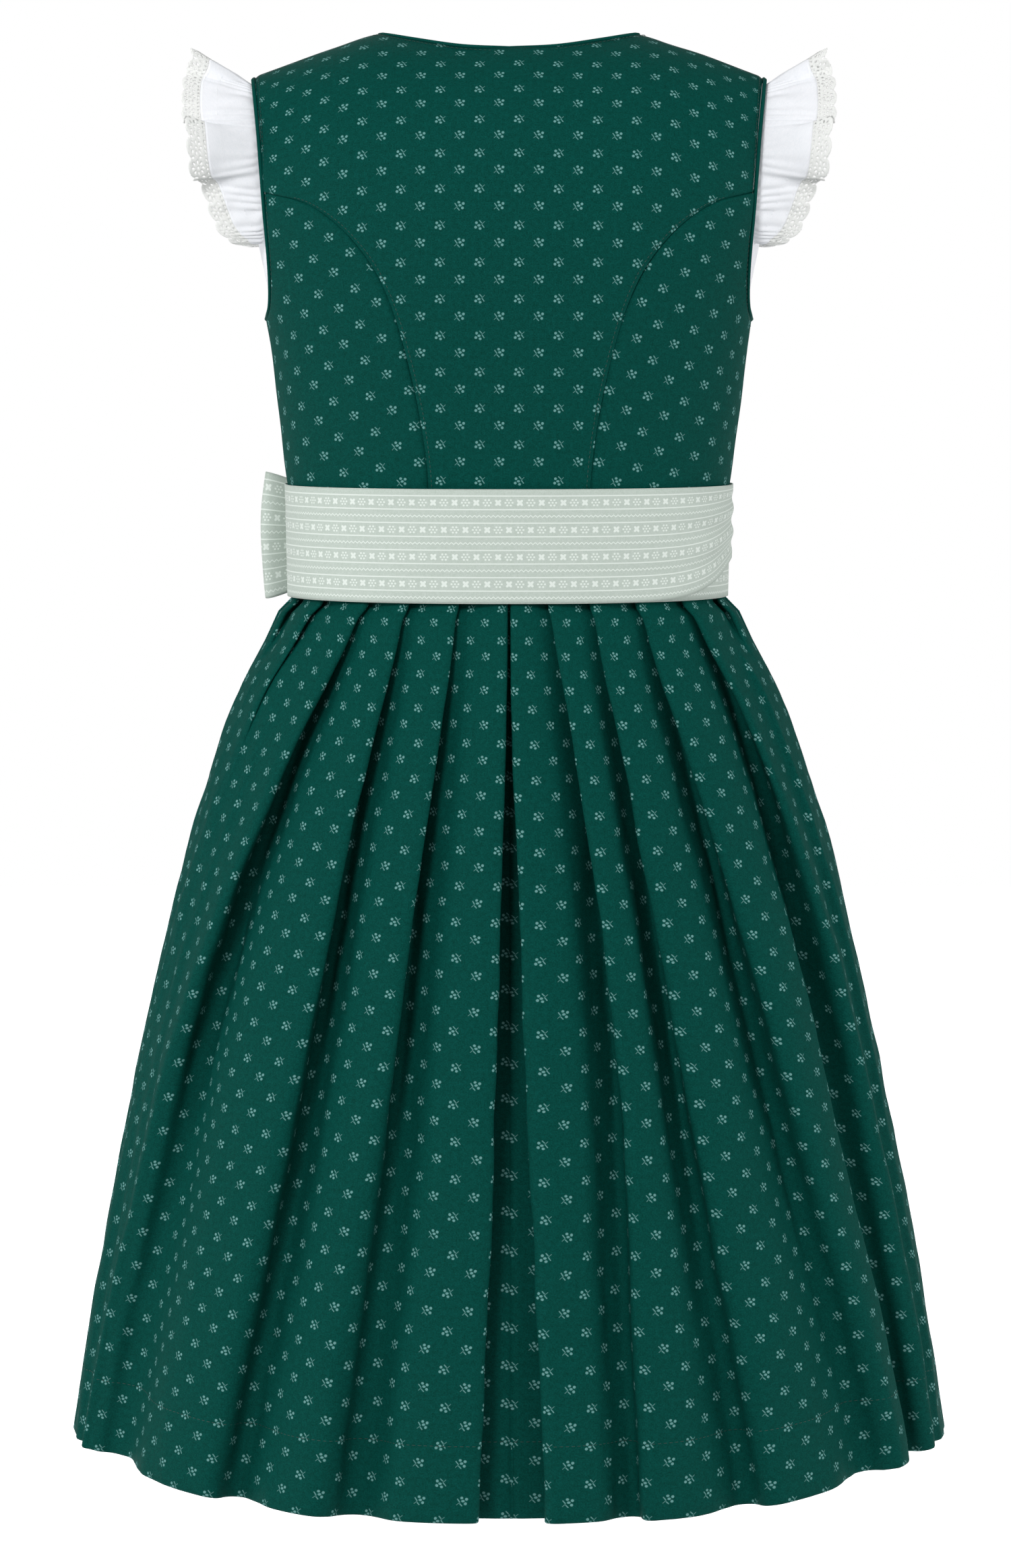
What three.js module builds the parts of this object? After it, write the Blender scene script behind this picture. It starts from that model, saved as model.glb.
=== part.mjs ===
// A girl's dirndl, filled out as when it is worn: a fitted bodice, a short blouse with lace-edged
// ruffle sleeves, a pleated skirt, and an apron whose sash goes twice round the waist and ends in a bow.
// Millimetres, +Z up. The front faces -Y, the wearer's left is +X, and the origin lies between the shoulders.
import * as THREE from "three";

// ---- driving dimensions ----
const cloth = { bodice: 1.2, skirt: 1.1, blouse: 1, sash: 1, apron: 1, lace: 1 };
const seamGap = 0.3;
const waistZ = -249;
const underarmZ = -136;
const neckX = 68;
const shoulderTipX = 131.6;
const sashTopZ = -220;
const sashBottomZ = -278;
const hemZ = -727.6;
const apronHemZ = -688;
const bindingRadius = 1.05;
const blouseInset = 3.5;

// How square the body sections are: 2 is an ellipse.
const sectionPower = 2.3;
// Above this height the cloth starts to close over the shoulders.
const archBaseZ = -110;
const archPower = 2.6;

// Half width and depths of the bodice's mid-surface at each height.
const bodySections = [
  { z: -252, half: 109.6, back: 79.6, front: 81.4 },
  { z: -220, half: 114.1, back: 83.6, front: 85.6 },
  { z: -186, half: 118.0, back: 86.6, front: 90.0 },
  { z: -156, half: 122.2, back: 89.0, front: 93.0 },
  { z: -129, half: 126.8, back: 91.0, front: 92.5 },
  { z: -100, half: 132.6, back: 92.0, front: 89.5 },
  { z: -70, half: 139.6, back: 92.0, front: 84.5 },
  { z: -40, half: 146.6, back: 91.0, front: 78.5 },
  { z: 0, half: 153.6, back: 88.0, front: 71.0 },
  { z: 20, half: 156.0, back: 86.0, front: 69.0 },
];

// Height of the shoulder crest over each distance from the middle.
const shoulderCrest = [
  { x: 0, z: 14.6 },
  { x: 40, z: 14.0 },
  { x: 68, z: 12.2 },
  { x: 90, z: 4.9 },
  { x: 112, z: -2.6 },
  { x: 134, z: -10.2 },
  { x: 160, z: -19.0 },
];

// Distance of the armhole edge from the middle: bodice (dress) and blouse, back and front.
const dressArmhole = [
  { z: -136, back: 126.2, front: 126.2 },
  { z: -129, back: 123.4, front: 121.9 },
  { z: -116, back: 122.6, front: 117.2 },
  { z: -100, back: 123.2, front: 114.2 },
  { z: -79, back: 124.8, front: 113.2 },
  { z: -58, back: 126.2, front: 115.2 },
  { z: -37, back: 127.9, front: 119.6 },
  { z: -17, back: 130.3, front: 127.6 },
  { z: -10, back: 131.6, front: 131.6 },
];
const blouseUnderarmZ = -97;
const blouseTipX = 137.4;
const blouseArmhole = [
  { z: -97, back: 131.3, front: 131.3 },
  { z: -90, back: 130.6, front: 127.2 },
  { z: -75, back: 130.8, front: 121.8 },
  { z: -58, back: 132.2, front: 121.6 },
  { z: -37, back: 133.9, front: 125.8 },
  { z: -17, back: 136.5, front: 133.6 },
  { z: -13, back: 137.4, front: 137.4 },
];

// Back princess seam, from the waist to the armhole: distance from the middle at each height.
const princessSeam = [
  { z: -249, x: 40.2 },
  { z: -217, x: 41.6 },
  { z: -198, x: 43.4 },
  { z: -178, x: 46.6 },
  { z: -154, x: 52.0 },
  { z: -131, x: 58.8 },
  { z: -112, x: 67.0 },
  { z: -98, x: 76.7 },
  { z: -85, x: 89.7 },
  { z: -75, x: 106.0 },
  { z: -70.5, x: 123.6 },
];

// Necklines, as height over distance from the middle.
const backNeckline = [
  { x: 0, z: 2.8 },
  { x: 25, z: 4.2 },
  { x: 50, z: 8.4 },
  { x: 68, z: 12.2 },
];
const dressFrontNeck = [
  { x: 0, z: -110 },
  { x: 14, z: -109 },
  { x: 30, z: -104.5 },
  { x: 42, z: -96 },
  { x: 51, z: -82 },
  { x: 57.5, z: -60 },
  { x: 62, z: -32 },
  { x: 65.5, z: -8 },
  { x: 68, z: 12.2 },
];
const blouseFrontNeck = [
  { x: 0, z: -80 },
  { x: 16, z: -78.5 },
  { x: 32, z: -72 },
  { x: 44, z: -61 },
  { x: 54, z: -45 },
  { x: 62, z: -24 },
  { x: 68, z: -4 },
  { x: 72, z: 9 },
];

// Outline of the pleated skirt at each height: its half width, and how deep the pleats stand.
const skirtSections = [
  { z: -249.3, half: 110.6, pleat: 5.4, turn: 1.15 },
  { z: -278, half: 113.2, pleat: 5.6, turn: 1.2 },
  { z: -300, half: 127.6, pleat: 6.6, turn: 1.35 },
  { z: -330, half: 143.2, pleat: 8.0, turn: 1.6 },
  { z: -380, half: 160.6, pleat: 9.6, turn: 1.9 },
  { z: -434, half: 175.6, pleat: 11.0, turn: 2.2 },
  { z: -511, half: 193.4, pleat: 12.4, turn: 2.5 },
  { z: -600, half: 210.8, pleat: 13.4, turn: 2.8 },
  { z: -662, half: 222.0, pleat: 13.8, turn: 3.0 },
  { z: -727.6, half: 231.2, pleat: 14.0, turn: 3.1 },
];
const skirtDepth = { waistBack: 85.6, hemBack: 186, waistFront: 85.6, hemFront: 180 };
const skirtBackRows = [-249.3, -278, -300, -330, -380, -450, -540, -630, -727.6];
const skirtFrontRows = [-249.3, -278, -300, -336, -410, -560, -727.6];

// Fold edges of the pleats, as shares of a quarter of the skirt's girth, at the waist and from mid-skirt
// down, with how deep the cloth tucks under and how far the fold has relaxed into a wave at the hem.
const backLeftPleats = [
  { waist: 0.006, hem: 0.047, tuck: 15, soft: 0.12 },
  { waist: 0.17, hem: 0.262, tuck: 11, soft: 0.72 },
  { waist: 0.33, hem: 0.426, tuck: 11, soft: 0.62 },
  { waist: 0.505, hem: 0.565, tuck: 10, soft: 0.88 },
  { waist: 0.675, hem: 0.715, tuck: 12, soft: 0.8 },
  { waist: 0.845, hem: 0.865, tuck: 9, soft: 0.92 },
];
const backRightPleats = [
  { waist: 0.006, hem: 0.06, tuck: 11, soft: 0.12 },
  { waist: 0.128, hem: 0.212, tuck: 10, soft: 0.55 },
  { waist: 0.285, hem: 0.362, tuck: 11, soft: 0.7 },
  { waist: 0.46, hem: 0.55, tuck: 11, soft: 0.62 },
  { waist: 0.68, hem: 0.705, tuck: 12, soft: 0.85 },
  { waist: 0.85, hem: 0.862, tuck: 9, soft: 0.92 },
];
// Front quarters are counted from the side seam; the middle of the front stays flat under the apron.
const frontPleats = [
  { waist: 0.03, hem: 0.04, tuck: 9, soft: 0.85 },
  { waist: 0.19, hem: 0.2, tuck: 10, soft: 0.8 },
  { waist: 0.35, hem: 0.365, tuck: 10, soft: 0.75 },
  { waist: 0.51, hem: 0.53, tuck: 10, soft: 0.8 },
  { waist: 0.67, hem: 0.7, tuck: 9, soft: 0.85 },
];

// Mid-surface of the first turn of the sash, at its top and bottom edges; the second lies over it.
const sashSections = [
  { z: -278, half: 114.5, back: 87.0, front: 87.0 },
  { z: -220, half: 115.6, back: 85.1, front: 87.1 },
];
const sashTurnStep = 1.35;

const bow = {
  x: 62, // where the knot sits on the front, left of the middle
  knotWidth: 24,
  knotHeight: 32,
  knotDepth: 13,
  loopLength: 77,
  loopHeight: 67,
  loopThroat: 26,
  loopThickness: 20,
};
const ruffle = {
  start: 24, // degrees from the underarm, at the front and at the back
  waves: 8,
  waveDepth: 6.5,
  length: 37.5,
  endLength: 11,
  topDip: 8, // how much shorter the ruffle is over the shoulder
  laceWidth: 12.5,
  scallops: 28,
};
const buttonHeights = [-122, -144, -166, -188, -210];

// ---- colours ----
const finish = (color, roughness) => new THREE.MeshStandardMaterial({ color, roughness, metalness: 0 });
const green = finish(0x0f4a41, 0.75);
const sage = finish(0xc0cfc2, 0.6);
const white = finish(0xf3f5f8, 0.85);
const laceWhite = finish(0xeff0ea, 0.9);
const horn = finish(0xb9b3a2, 0.4);

// ---- curves through the tables ----
const clamp = THREE.MathUtils.clamp;
const mix = THREE.MathUtils.lerp;
const ease = (share) => THREE.MathUtils.smoothstep(share, 0, 1);

// A smooth curve of one column over another.
function columnCurve(rows, key, value) {
  const sorted = [...rows].sort((a, b) => a[key] - b[key]);
  const at = sorted.map((row) => row[key]);
  const to = sorted.map((row) => row[value]);
  const last = at.length - 1;
  const slope = (i) => {
    const low = Math.max(0, i - 1);
    const high = Math.min(last, i + 1);
    return (to[high] - to[low]) / (at[high] - at[low]);
  };
  return (where) => {
    const t = clamp(where, at[0], at[last]);
    let i = 0;
    while (i < last - 1 && t > at[i + 1]) i += 1;
    const span = at[i + 1] - at[i];
    const u = (t - at[i]) / span;
    const bend = (2 * u - 3) * u * u + 1;
    return (
      to[i] * bend +
      to[i + 1] * (1 - bend) +
      slope(i) * span * u * (1 - u) ** 2 -
      slope(i + 1) * span * u * u * (1 - u)
    );
  };
}

const bodyHalf = columnCurve(bodySections, "z", "half");
const bodyBack = columnCurve(bodySections, "z", "back");
const bodyFront = columnCurve(bodySections, "z", "front");
const crestOver = columnCurve(shoulderCrest, "x", "z");
const seamX = columnCurve(princessSeam, "z", "x");
const backNeckZ = columnCurve(backNeckline, "x", "z");
const skirtHalf = columnCurve(skirtSections, "z", "half");
const pleatDepth = columnCurve(skirtSections, "z", "pleat");
const pleatTurn = columnCurve(skirtSections, "z", "turn");
const armholeX = {
  dress: {
    back: columnCurve(dressArmhole, "z", "back"),
    front: columnCurve(dressArmhole, "z", "front"),
  },
  blouse: {
    back: columnCurve(blouseArmhole, "z", "back"),
    front: columnCurve(blouseArmhole, "z", "front"),
  },
};

// ---- the body that the bodice and blouse are fitted to ----
// side is "back" or "front"; inset takes the surface in, for a layer underneath.
function bodyPoint(x, z, side, inset = 0) {
  const half = bodyHalf(z) - inset;
  const depth = (side === "back" ? bodyBack(z) : bodyFront(z)) - inset;
  const across = Math.min(1, Math.abs(x) / half);
  const flat = depth * (1 - across ** sectionPower) ** (1 / sectionPower);
  const crest = crestOver(Math.abs(x)) - inset;
  const rise = clamp((z - archBaseZ) / (crest - archBaseZ), 0, 1);
  const fall = Math.sqrt(1 - rise ** archPower);
  const crestY = 4 - Math.abs(x) * 0.02;
  const y = (side === "back" ? flat : -flat) * fall + crestY * (1 - fall);
  return new THREE.Vector3(x, y, Math.min(z, crest));
}

// ---- solids from surfaces ----
function solid(vertices, faces, material, name) {
  const geometry = new THREE.BufferGeometry();
  const positions = vertices.flatMap((v) => v.toArray());
  geometry.setAttribute("position", new THREE.Float32BufferAttribute(positions, 3));
  let volume = 0;
  for (const [a, b, c] of faces) {
    volume += vertices[a].dot(new THREE.Vector3().crossVectors(vertices[b], vertices[c]));
  }
  geometry.setIndex((volume < 0 ? faces.map(([a, b, c]) => [a, c, b]) : faces).flat());
  geometry.computeVertexNormals();
  const mesh = new THREE.Mesh(geometry, material);
  mesh.name = name;
  return mesh;
}

// The unit normals of a grid of points; folds get the bisector, lengthened to keep the wall even.
function gridNormals(rows, around) {
  const along = (before, here, after) => {
    const arriving = here.clone().sub(before).normalize();
    const leaving = after.clone().sub(here).normalize();
    return arriving.add(leaving).multiplyScalar(0.5);
  };
  return rows.map((row, j) =>
    row.map((point, i) => {
      const n = row.length;
      const before = around ? row[(i + n - 1) % n] : row[Math.max(0, i - 1)];
      const after = around ? row[(i + 1) % n] : row[Math.min(n - 1, i + 1)];
      const atEnd = before === point || after === point;
      const across = atEnd ? after.clone().sub(before).normalize() : along(before, point, after);
      const sharpness = Math.max(0.68, across.length());
      const up = rows[Math.min(rows.length - 1, j + 1)][i].clone().sub(rows[Math.max(0, j - 1)][i]);
      return new THREE.Vector3().crossVectors(across, up).normalize().divideScalar(sharpness);
    }),
  );
}

// A wall of cloth with its mid-surface through rows of points; around closes each row on itself.
function clothWall(name, rows, thickness, material, around = false) {
  const normals = gridNormals(rows, around);
  const columns = rows[0].length;
  const offset = (p, normal, side) => p.clone().addScaledVector(normal, (side * thickness) / 2);
  const face = (side) => rows.flatMap((row, j) => row.map((p, i) => offset(p, normals[j][i], side)));
  const vertices = [...face(1), ...face(-1)];
  const inner = rows.length * columns;
  const at = (j, i) => j * columns + (i % columns);
  const faces = [];
  const quad = (a, b, c, d) => faces.push([a, b, c], [a, c, d]);
  const spans = around ? columns : columns - 1;
  for (let j = 0; j < rows.length - 1; j += 1) {
    for (let i = 0; i < spans; i += 1) {
      quad(at(j, i), at(j, i + 1), at(j + 1, i + 1), at(j + 1, i));
      quad(inner + at(j, i), inner + at(j + 1, i), inner + at(j + 1, i + 1), inner + at(j, i + 1));
    }
  }
  const top = rows.length - 1;
  for (let i = 0; i < spans; i += 1) {
    quad(at(0, i), inner + at(0, i), inner + at(0, i + 1), at(0, i + 1));
    quad(at(top, i), at(top, i + 1), inner + at(top, i + 1), inner + at(top, i));
  }
  if (!around) {
    const end = columns - 1;
    for (let j = 0; j < top; j += 1) {
      quad(at(j, 0), at(j + 1, 0), inner + at(j + 1, 0), inner + at(j, 0));
      quad(at(j, end), inner + at(j, end), inner + at(j + 1, end), at(j + 1, end));
    }
  }
  return solid(vertices, faces, material, name);
}

// A bound edge: a round cord set just outside an edge, sideways along its cloth. The edge is a list of
// { point, normal, out }, and loop joins its end to its start.
function boundEdge(name, edge, material, loop) {
  const sides = 6;
  const middle = bindingRadius + seamGap + 0.15;
  const rings = edge.map(({ point, normal, out }) =>
    Array.from({ length: sides }, (_, k) => {
      const turn = (2 * Math.PI * (k + 0.5)) / sides;
      return point
        .clone()
        .addScaledVector(out, middle + bindingRadius * Math.cos(turn))
        .addScaledVector(normal, bindingRadius * Math.sin(turn));
    }),
  );
  const faces = [];
  const last = rings.length - (loop ? 0 : 1);
  for (let j = 0; j < last; j += 1) {
    const next = (j + 1) % rings.length;
    for (let k = 0; k < sides; k += 1) {
      const l = (k + 1) % sides;
      faces.push([j * sides + k, j * sides + l, next * sides + l]);
      faces.push([j * sides + k, next * sides + l, next * sides + k]);
    }
  }
  if (!loop) {
    const end = (rings.length - 1) * sides;
    for (let k = 1; k < sides - 1; k += 1) {
      faces.push([0, k + 1, k], [end, end + k, end + k + 1]);
    }
  }
  return solid(rings.flat(), faces, material, name);
}

// The frames along an edge of the cloth: out points away from the cloth, towards the opening's centre.
function edgeFrames(edge, centre, loop) {
  const n = edge.length;
  return edge.map(({ point, normal }, i) => {
    const before = edge[loop ? (i + n - 1) % n : Math.max(0, i - 1)].point;
    const after = edge[loop ? (i + 1) % n : Math.min(n - 1, i + 1)].point;
    const tangent = after.clone().sub(before).normalize();
    const out = new THREE.Vector3().crossVectors(normal, tangent).normalize();
    if (out.dot(centre.clone().sub(point)) < 0) out.negate();
    return { point, normal, out };
  });
}

// The outward normal of the body's surface, from two short steps along it.
function bodyNormal(x, z, side, inset = 0) {
  const step = 0.5;
  const low = Math.min(z, crestOver(Math.abs(x)) - inset - 1.5);
  const aside = bodyPoint(x + step, low, side, inset).sub(bodyPoint(x - step, low, side, inset));
  const up = bodyPoint(x, low + step, side, inset).sub(bodyPoint(x, low - step, side, inset));
  const normal = new THREE.Vector3().crossVectors(aside, up).normalize();
  return side === "back" ? normal.negate() : normal;
}

const spread = (count, shape = (t) => t) => Array.from({ length: count + 1 }, (_, i) => shape(i / count));
const towardsEnd = (t) => Math.sin((t * Math.PI) / 2);

// ---- bodice ----
// Distance from the middle to a panel's outer edge: the side seam up to the underarm, then the armhole.
function outerEdgeX(layer, side, z, underarm, inset) {
  return z < underarm ? bodyHalf(z) - inset : Math.min(bodyHalf(z) - inset, armholeX[layer][side](z));
}

const edgeTrim = seamGap / 2;
// Heights of the rows along the side seam and the armhole, alike in every panel.
const seamTopZ = -72.6;
const bodiceRows = [
  -249, -222, -196, -170, -150, underarmZ, -129, -116, -101, -87, -76, seamTopZ, -56, -38, -24, -15.5, -11.6, -9.8,
];
const seamTopRow = bodiceRows.indexOf(seamTopZ);
const acrossBack = [0, 0.17, 0.34, neckX / shoulderTipX, 0.64, 0.78, 0.9, 1];

function backCentrePanel() {
  const bottom = bodiceRows[0];
  const top = bodiceRows.at(-1);
  const shares = [...acrossBack.slice(1).reverse().map((s) => -s), ...acrossBack];
  const topZ = (x) => (Math.abs(x) < neckX ? backNeckZ(Math.abs(x)) : crestOver(Math.abs(x)));
  const rows = bodiceRows.map((z, j) => {
    const t = (z - bottom) / (top - bottom);
    const reach = j > seamTopRow ? armholeX.dress.back(z) : seamX(z) - edgeTrim;
    return shares.map((s) => {
      const x = s * reach;
      const end = topZ(s * shoulderTipX);
      return bodyPoint(x, Math.min(bottom + t * (end - bottom), crestOver(Math.abs(x))), "back");
    });
  });
  return clothWall("bodice_back_centre", rows, cloth.bodice, green);
}

function backSidePanel(name, sign) {
  const rows = bodiceRows.slice(0, seamTopRow + 1).map((z, j) => {
    const inner = seamX(z) + edgeTrim;
    const outer = outerEdgeX("dress", "back", z, underarmZ, 0);
    return spread(6, towardsEnd).map((s) => {
      const height = j === seamTopRow ? mix(z - seamGap, z + 1.6, s) : z;
      const point = bodyPoint(mix(inner, outer, s), height, "back");
      return new THREE.Vector3(sign * point.x, Math.max(point.y, edgeTrim), height);
    });
  });
  return clothWall(name, rows, cloth.bodice, green);
}

// Shares along the front necklines at which the rows of a front end.
const dressNeckSteps = [0, 0.07, 0.16, 0.27, 0.4, 0.53, 0.66, 0.77, 0.86, 0.93, 0.975, 1];
const blouseNeckSteps = [0, 0.14, 0.3, 0.47, 0.64, 0.8, 0.92, 1];

// A front, from the middle and the neckline to the side seam and the armhole.
function frontPanel(name, sign, layer) {
  const { armhole, neck, neckSteps, underarm, heights, inset, thickness, material } = layer;
  const neckCurve = new THREE.CatmullRomCurve3(neck.map(({ x, z }) => new THREE.Vector3(x, 0, z)));
  const below = heights.length - neckSteps.length;
  const middle = spread(below).map((t) => new THREE.Vector3(0, 0, mix(heights[0], neck[0].z, t)));
  const inner = middle.slice(0, -1).concat(neckSteps.map((t) => neckCurve.getPoint(t)));
  const rows = heights.map((z, j) => {
    const start = inner[j];
    const endX = outerEdgeX(armhole, "front", z, underarm, inset);
    return spread(8, towardsEnd).map((s) => {
      const x = mix(start.x + edgeTrim, endX, s);
      const height = mix(start.z - (j === inner.length - 1 ? inset : 0), z, s);
      const point = bodyPoint(x, Math.min(height, crestOver(x) - inset), "front", inset);
      return new THREE.Vector3(sign * point.x, Math.min(point.y, crestY(x) - edgeTrim), point.z);
    });
  });
  return clothWall(name, rows, thickness, material);
}

// The shoulder seam runs along the crest, a little behind the middle of the arm.
function crestY(x) {
  return 4 - Math.abs(x) * 0.02;
}

// ---- blouse ----
const blouseTipZ = crestOver(blouseTipX) - blouseInset;
const blouseRows = [-205, -180, -150, -120, -97, -88, -74, -58, -42, -29, -20, blouseTipZ - 0.1];

function blouseBack() {
  const bottom = blouseRows[0];
  const top = blouseRows.at(-1);
  const neckLow = -14;
  const shares = [...acrossBack.slice(1).reverse().map((s) => -s), ...acrossBack];
  const rows = blouseRows.map((z) => {
    const t = (z - bottom) / (top - bottom);
    const reach = outerEdgeX("blouse", "back", z, blouseUnderarmZ, blouseInset);
    return shares.map((s) => {
      const x = s * reach;
      const across = Math.abs(s) * blouseTipX;
      const crest = crestOver(across) - blouseInset;
      const end = across < 72 ? mix(neckLow, crest, ease(across / 72)) : crest;
      const height = Math.min(bottom + t * (end - bottom), crestOver(Math.abs(x)) - blouseInset);
      const point = bodyPoint(x, height, "back", blouseInset);
      return new THREE.Vector3(point.x, Math.max(point.y, seamGap), point.z);
    });
  });
  return clothWall("blouse_back", rows, cloth.blouse, white);
}

// The blouse's armhole edge, by the angle from the underarm: through the front, over the shoulder, down the back.
function blouseArmholePoint(degrees) {
  const turn = THREE.MathUtils.degToRad(degrees);
  const side = degrees < 180 ? "front" : "back";
  const top = crestOver(blouseTipX) - blouseInset - 0.05;
  const z = mix(blouseUnderarmZ, top, (1 - Math.cos(turn)) / 2);
  return bodyPoint(armholeX.blouse[side](z), z, side, blouseInset);
}

// Where a ruffle stands along its armhole, from 0 to 1, how full it is there, and how long.
const ruffleShare = (degrees) => (degrees - ruffle.start) / (360 - 2 * ruffle.start);
const ruffleFullness = (degrees) => Math.sin(Math.PI * clamp(ruffleShare(degrees), 0, 1)) ** 0.55;
const ruffleLength = (degrees) =>
  mix(ruffle.endLength, ruffle.length, ruffleFullness(degrees)) -
  ruffle.topDip * Math.exp(-(((degrees - 180) / 27) ** 2));

// A point of the sleeve ruffle: along the armhole by angle, and outwards from 0 at the armhole to 1.
function rufflePoint(degrees, outwards) {
  const root = blouseArmholePoint(degrees);
  const turn = THREE.MathUtils.degToRad(degrees);
  const radial = new THREE.Vector3(0, -Math.sin(turn), -Math.cos(turn));
  const length = ruffleLength(degrees);
  const lift = THREE.MathUtils.degToRad(mix(4, 24, ease((1 - Math.cos(turn)) / 2)));
  const beat = Math.cos(2 * Math.PI * ruffle.waves * ruffleShare(degrees));
  const wave = beat * ruffle.waveDepth * ruffleFullness(degrees) * outwards ** 1.3;
  return root
    .add(new THREE.Vector3(0.95 + length * outwards * Math.cos(lift), 0, 0))
    .addScaledVector(radial, length * outwards * Math.sin(lift) + wave);
}

const laceStart = (degrees) => 1 - Math.min(ruffle.laceWidth, 0.55 * ruffleLength(degrees)) / ruffleLength(degrees);

function sleeveStrip(name, sign, columns, thickness, material, inner, outer, steps) {
  const angles = spread(columns).map((t) => mix(ruffle.start, 360 - ruffle.start, t));
  const rows = spread(steps).map((v) =>
    angles.map((degrees) => {
      const point = rufflePoint(degrees, mix(inner(degrees), outer(degrees), v));
      return new THREE.Vector3(sign * point.x, point.y, point.z);
    }),
  );
  return clothWall(name, rows, thickness, material);
}

function sleeve(name, sign) {
  const outer = (degrees) => laceStart(degrees) - (seamGap * 0.6) / ruffleLength(degrees);
  return sleeveStrip(name, sign, ruffle.waves * 6, cloth.blouse, white, () => 0, outer, 2);
}

function sleeveLace(name, sign) {
  const inner = (degrees) => laceStart(degrees) + (seamGap * 0.6) / ruffleLength(degrees);
  const outer = (degrees) => {
    const scallop = Math.abs(Math.sin(Math.PI * ruffle.scallops * ruffleShare(degrees)));
    return 1 - (2.6 * (1 - scallop)) / ruffleLength(degrees);
  };
  return sleeveStrip(name, sign, ruffle.scallops * 2, cloth.lace, laceWhite, inner, outer, 1);
}

// ---- bound armholes and neck ----
function armholeBinding(name, sign) {
  const heights = bodiceRows.slice(bodiceRows.indexOf(underarmZ));
  const half = (side) =>
    heights.map((z) => {
      const x = Math.min(bodyHalf(z), armholeX.dress[side](z));
      return { point: bodyPoint(x, z, side), normal: bodyNormal(x, z, side) };
    });
  const edge = [...half("front"), ...half("back").reverse().slice(1, -1)];
  const framed = edgeFrames(edge, new THREE.Vector3(134, 4, -72), true);
  framed[0].out.set(0, 0, 1);
  framed[0].normal.set(1, 0, 0);
  const mirror = new THREE.Vector3(sign, 1, 1);
  framed.forEach((frame) => Object.values(frame).forEach((v) => v.multiply(mirror)));
  return boundEdge(name, framed, green, true);
}

function neckBinding() {
  const front = new THREE.CatmullRomCurve3(dressFrontNeck.map(({ x, z }) => new THREE.Vector3(x, 0, z)));
  const rising = dressNeckSteps.map((t, i) => {
    const { x, z } = front.getPoint(t);
    const across = i ? x : seamGap * 2;
    return { point: bodyPoint(across, z, "front"), normal: bodyNormal(across, z, "front") };
  });
  const behind = [-2, -1, 0, 1, 2].map((k) => {
    const x = -Math.sign(k) * acrossBack[Math.abs(k)] * shoulderTipX;
    const z = backNeckZ(Math.abs(x));
    return { point: bodyPoint(x, z, "back"), normal: bodyNormal(x, z, "back") };
  });
  const mirror = new THREE.Vector3(-1, 1, 1);
  const falling = [...rising].reverse().map(({ point, normal }) => ({
    point: point.clone().multiply(mirror),
    normal: normal.clone().multiply(mirror),
  }));
  const framed = edgeFrames([...rising, ...behind, ...falling], new THREE.Vector3(0, 10, 20), false);
  return boundEdge("neck_binding", framed, green, false);
}

// ---- skirt ----
const fullness = (z) => (skirtHalf(z) - skirtHalf(-278)) / (skirtHalf(hemZ) - skirtHalf(-278));

// A quarter of the skirt's inner outline at a height, walked from the middle (back or front) to the side.
function skirtQuarter(z, side) {
  const depth =
    side === "back"
      ? mix(skirtDepth.waistBack, skirtDepth.hemBack, fullness(z))
      : mix(skirtDepth.waistFront, skirtDepth.hemFront, fullness(z));
  const inside = pleatDepth(z) + cloth.skirt / 2;
  const a = skirtHalf(z) - inside;
  const b = depth - inside;
  const steps = 160;
  const walk = [];
  let length = 0;
  for (let i = 0; i <= steps; i += 1) {
    const turn = (i / steps) * (Math.PI / 2);
    const x = a * Math.sin(turn) ** (2 / sectionPower);
    const y = b * Math.cos(turn) ** (2 / sectionPower);
    if (i) length += Math.hypot(x - walk[i - 1].x, y - walk[i - 1].y);
    walk.push({ x, y, length });
  }
  const pointAt = (arc, out) => {
    const t = clamp(arc, 0, length);
    let i = 1;
    while (i < steps && walk[i].length < t) i += 1;
    const share = (t - walk[i - 1].length) / (walk[i].length - walk[i - 1].length || 1);
    const x = mix(walk[i - 1].x, walk[i].x, share);
    const y = mix(walk[i - 1].y, walk[i].y, share);
    const normal = new THREE.Vector2(
      Math.sign(x) * (x / a) ** (sectionPower - 1) / a,
      (y / b) ** (sectionPower - 1) / b,
    ).normalize();
    const past = arc - t;
    return new THREE.Vector2(x + normal.x * out + normal.y * past, y + normal.y * out - normal.x * past);
  };
  return { length, pointAt };
}

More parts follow.
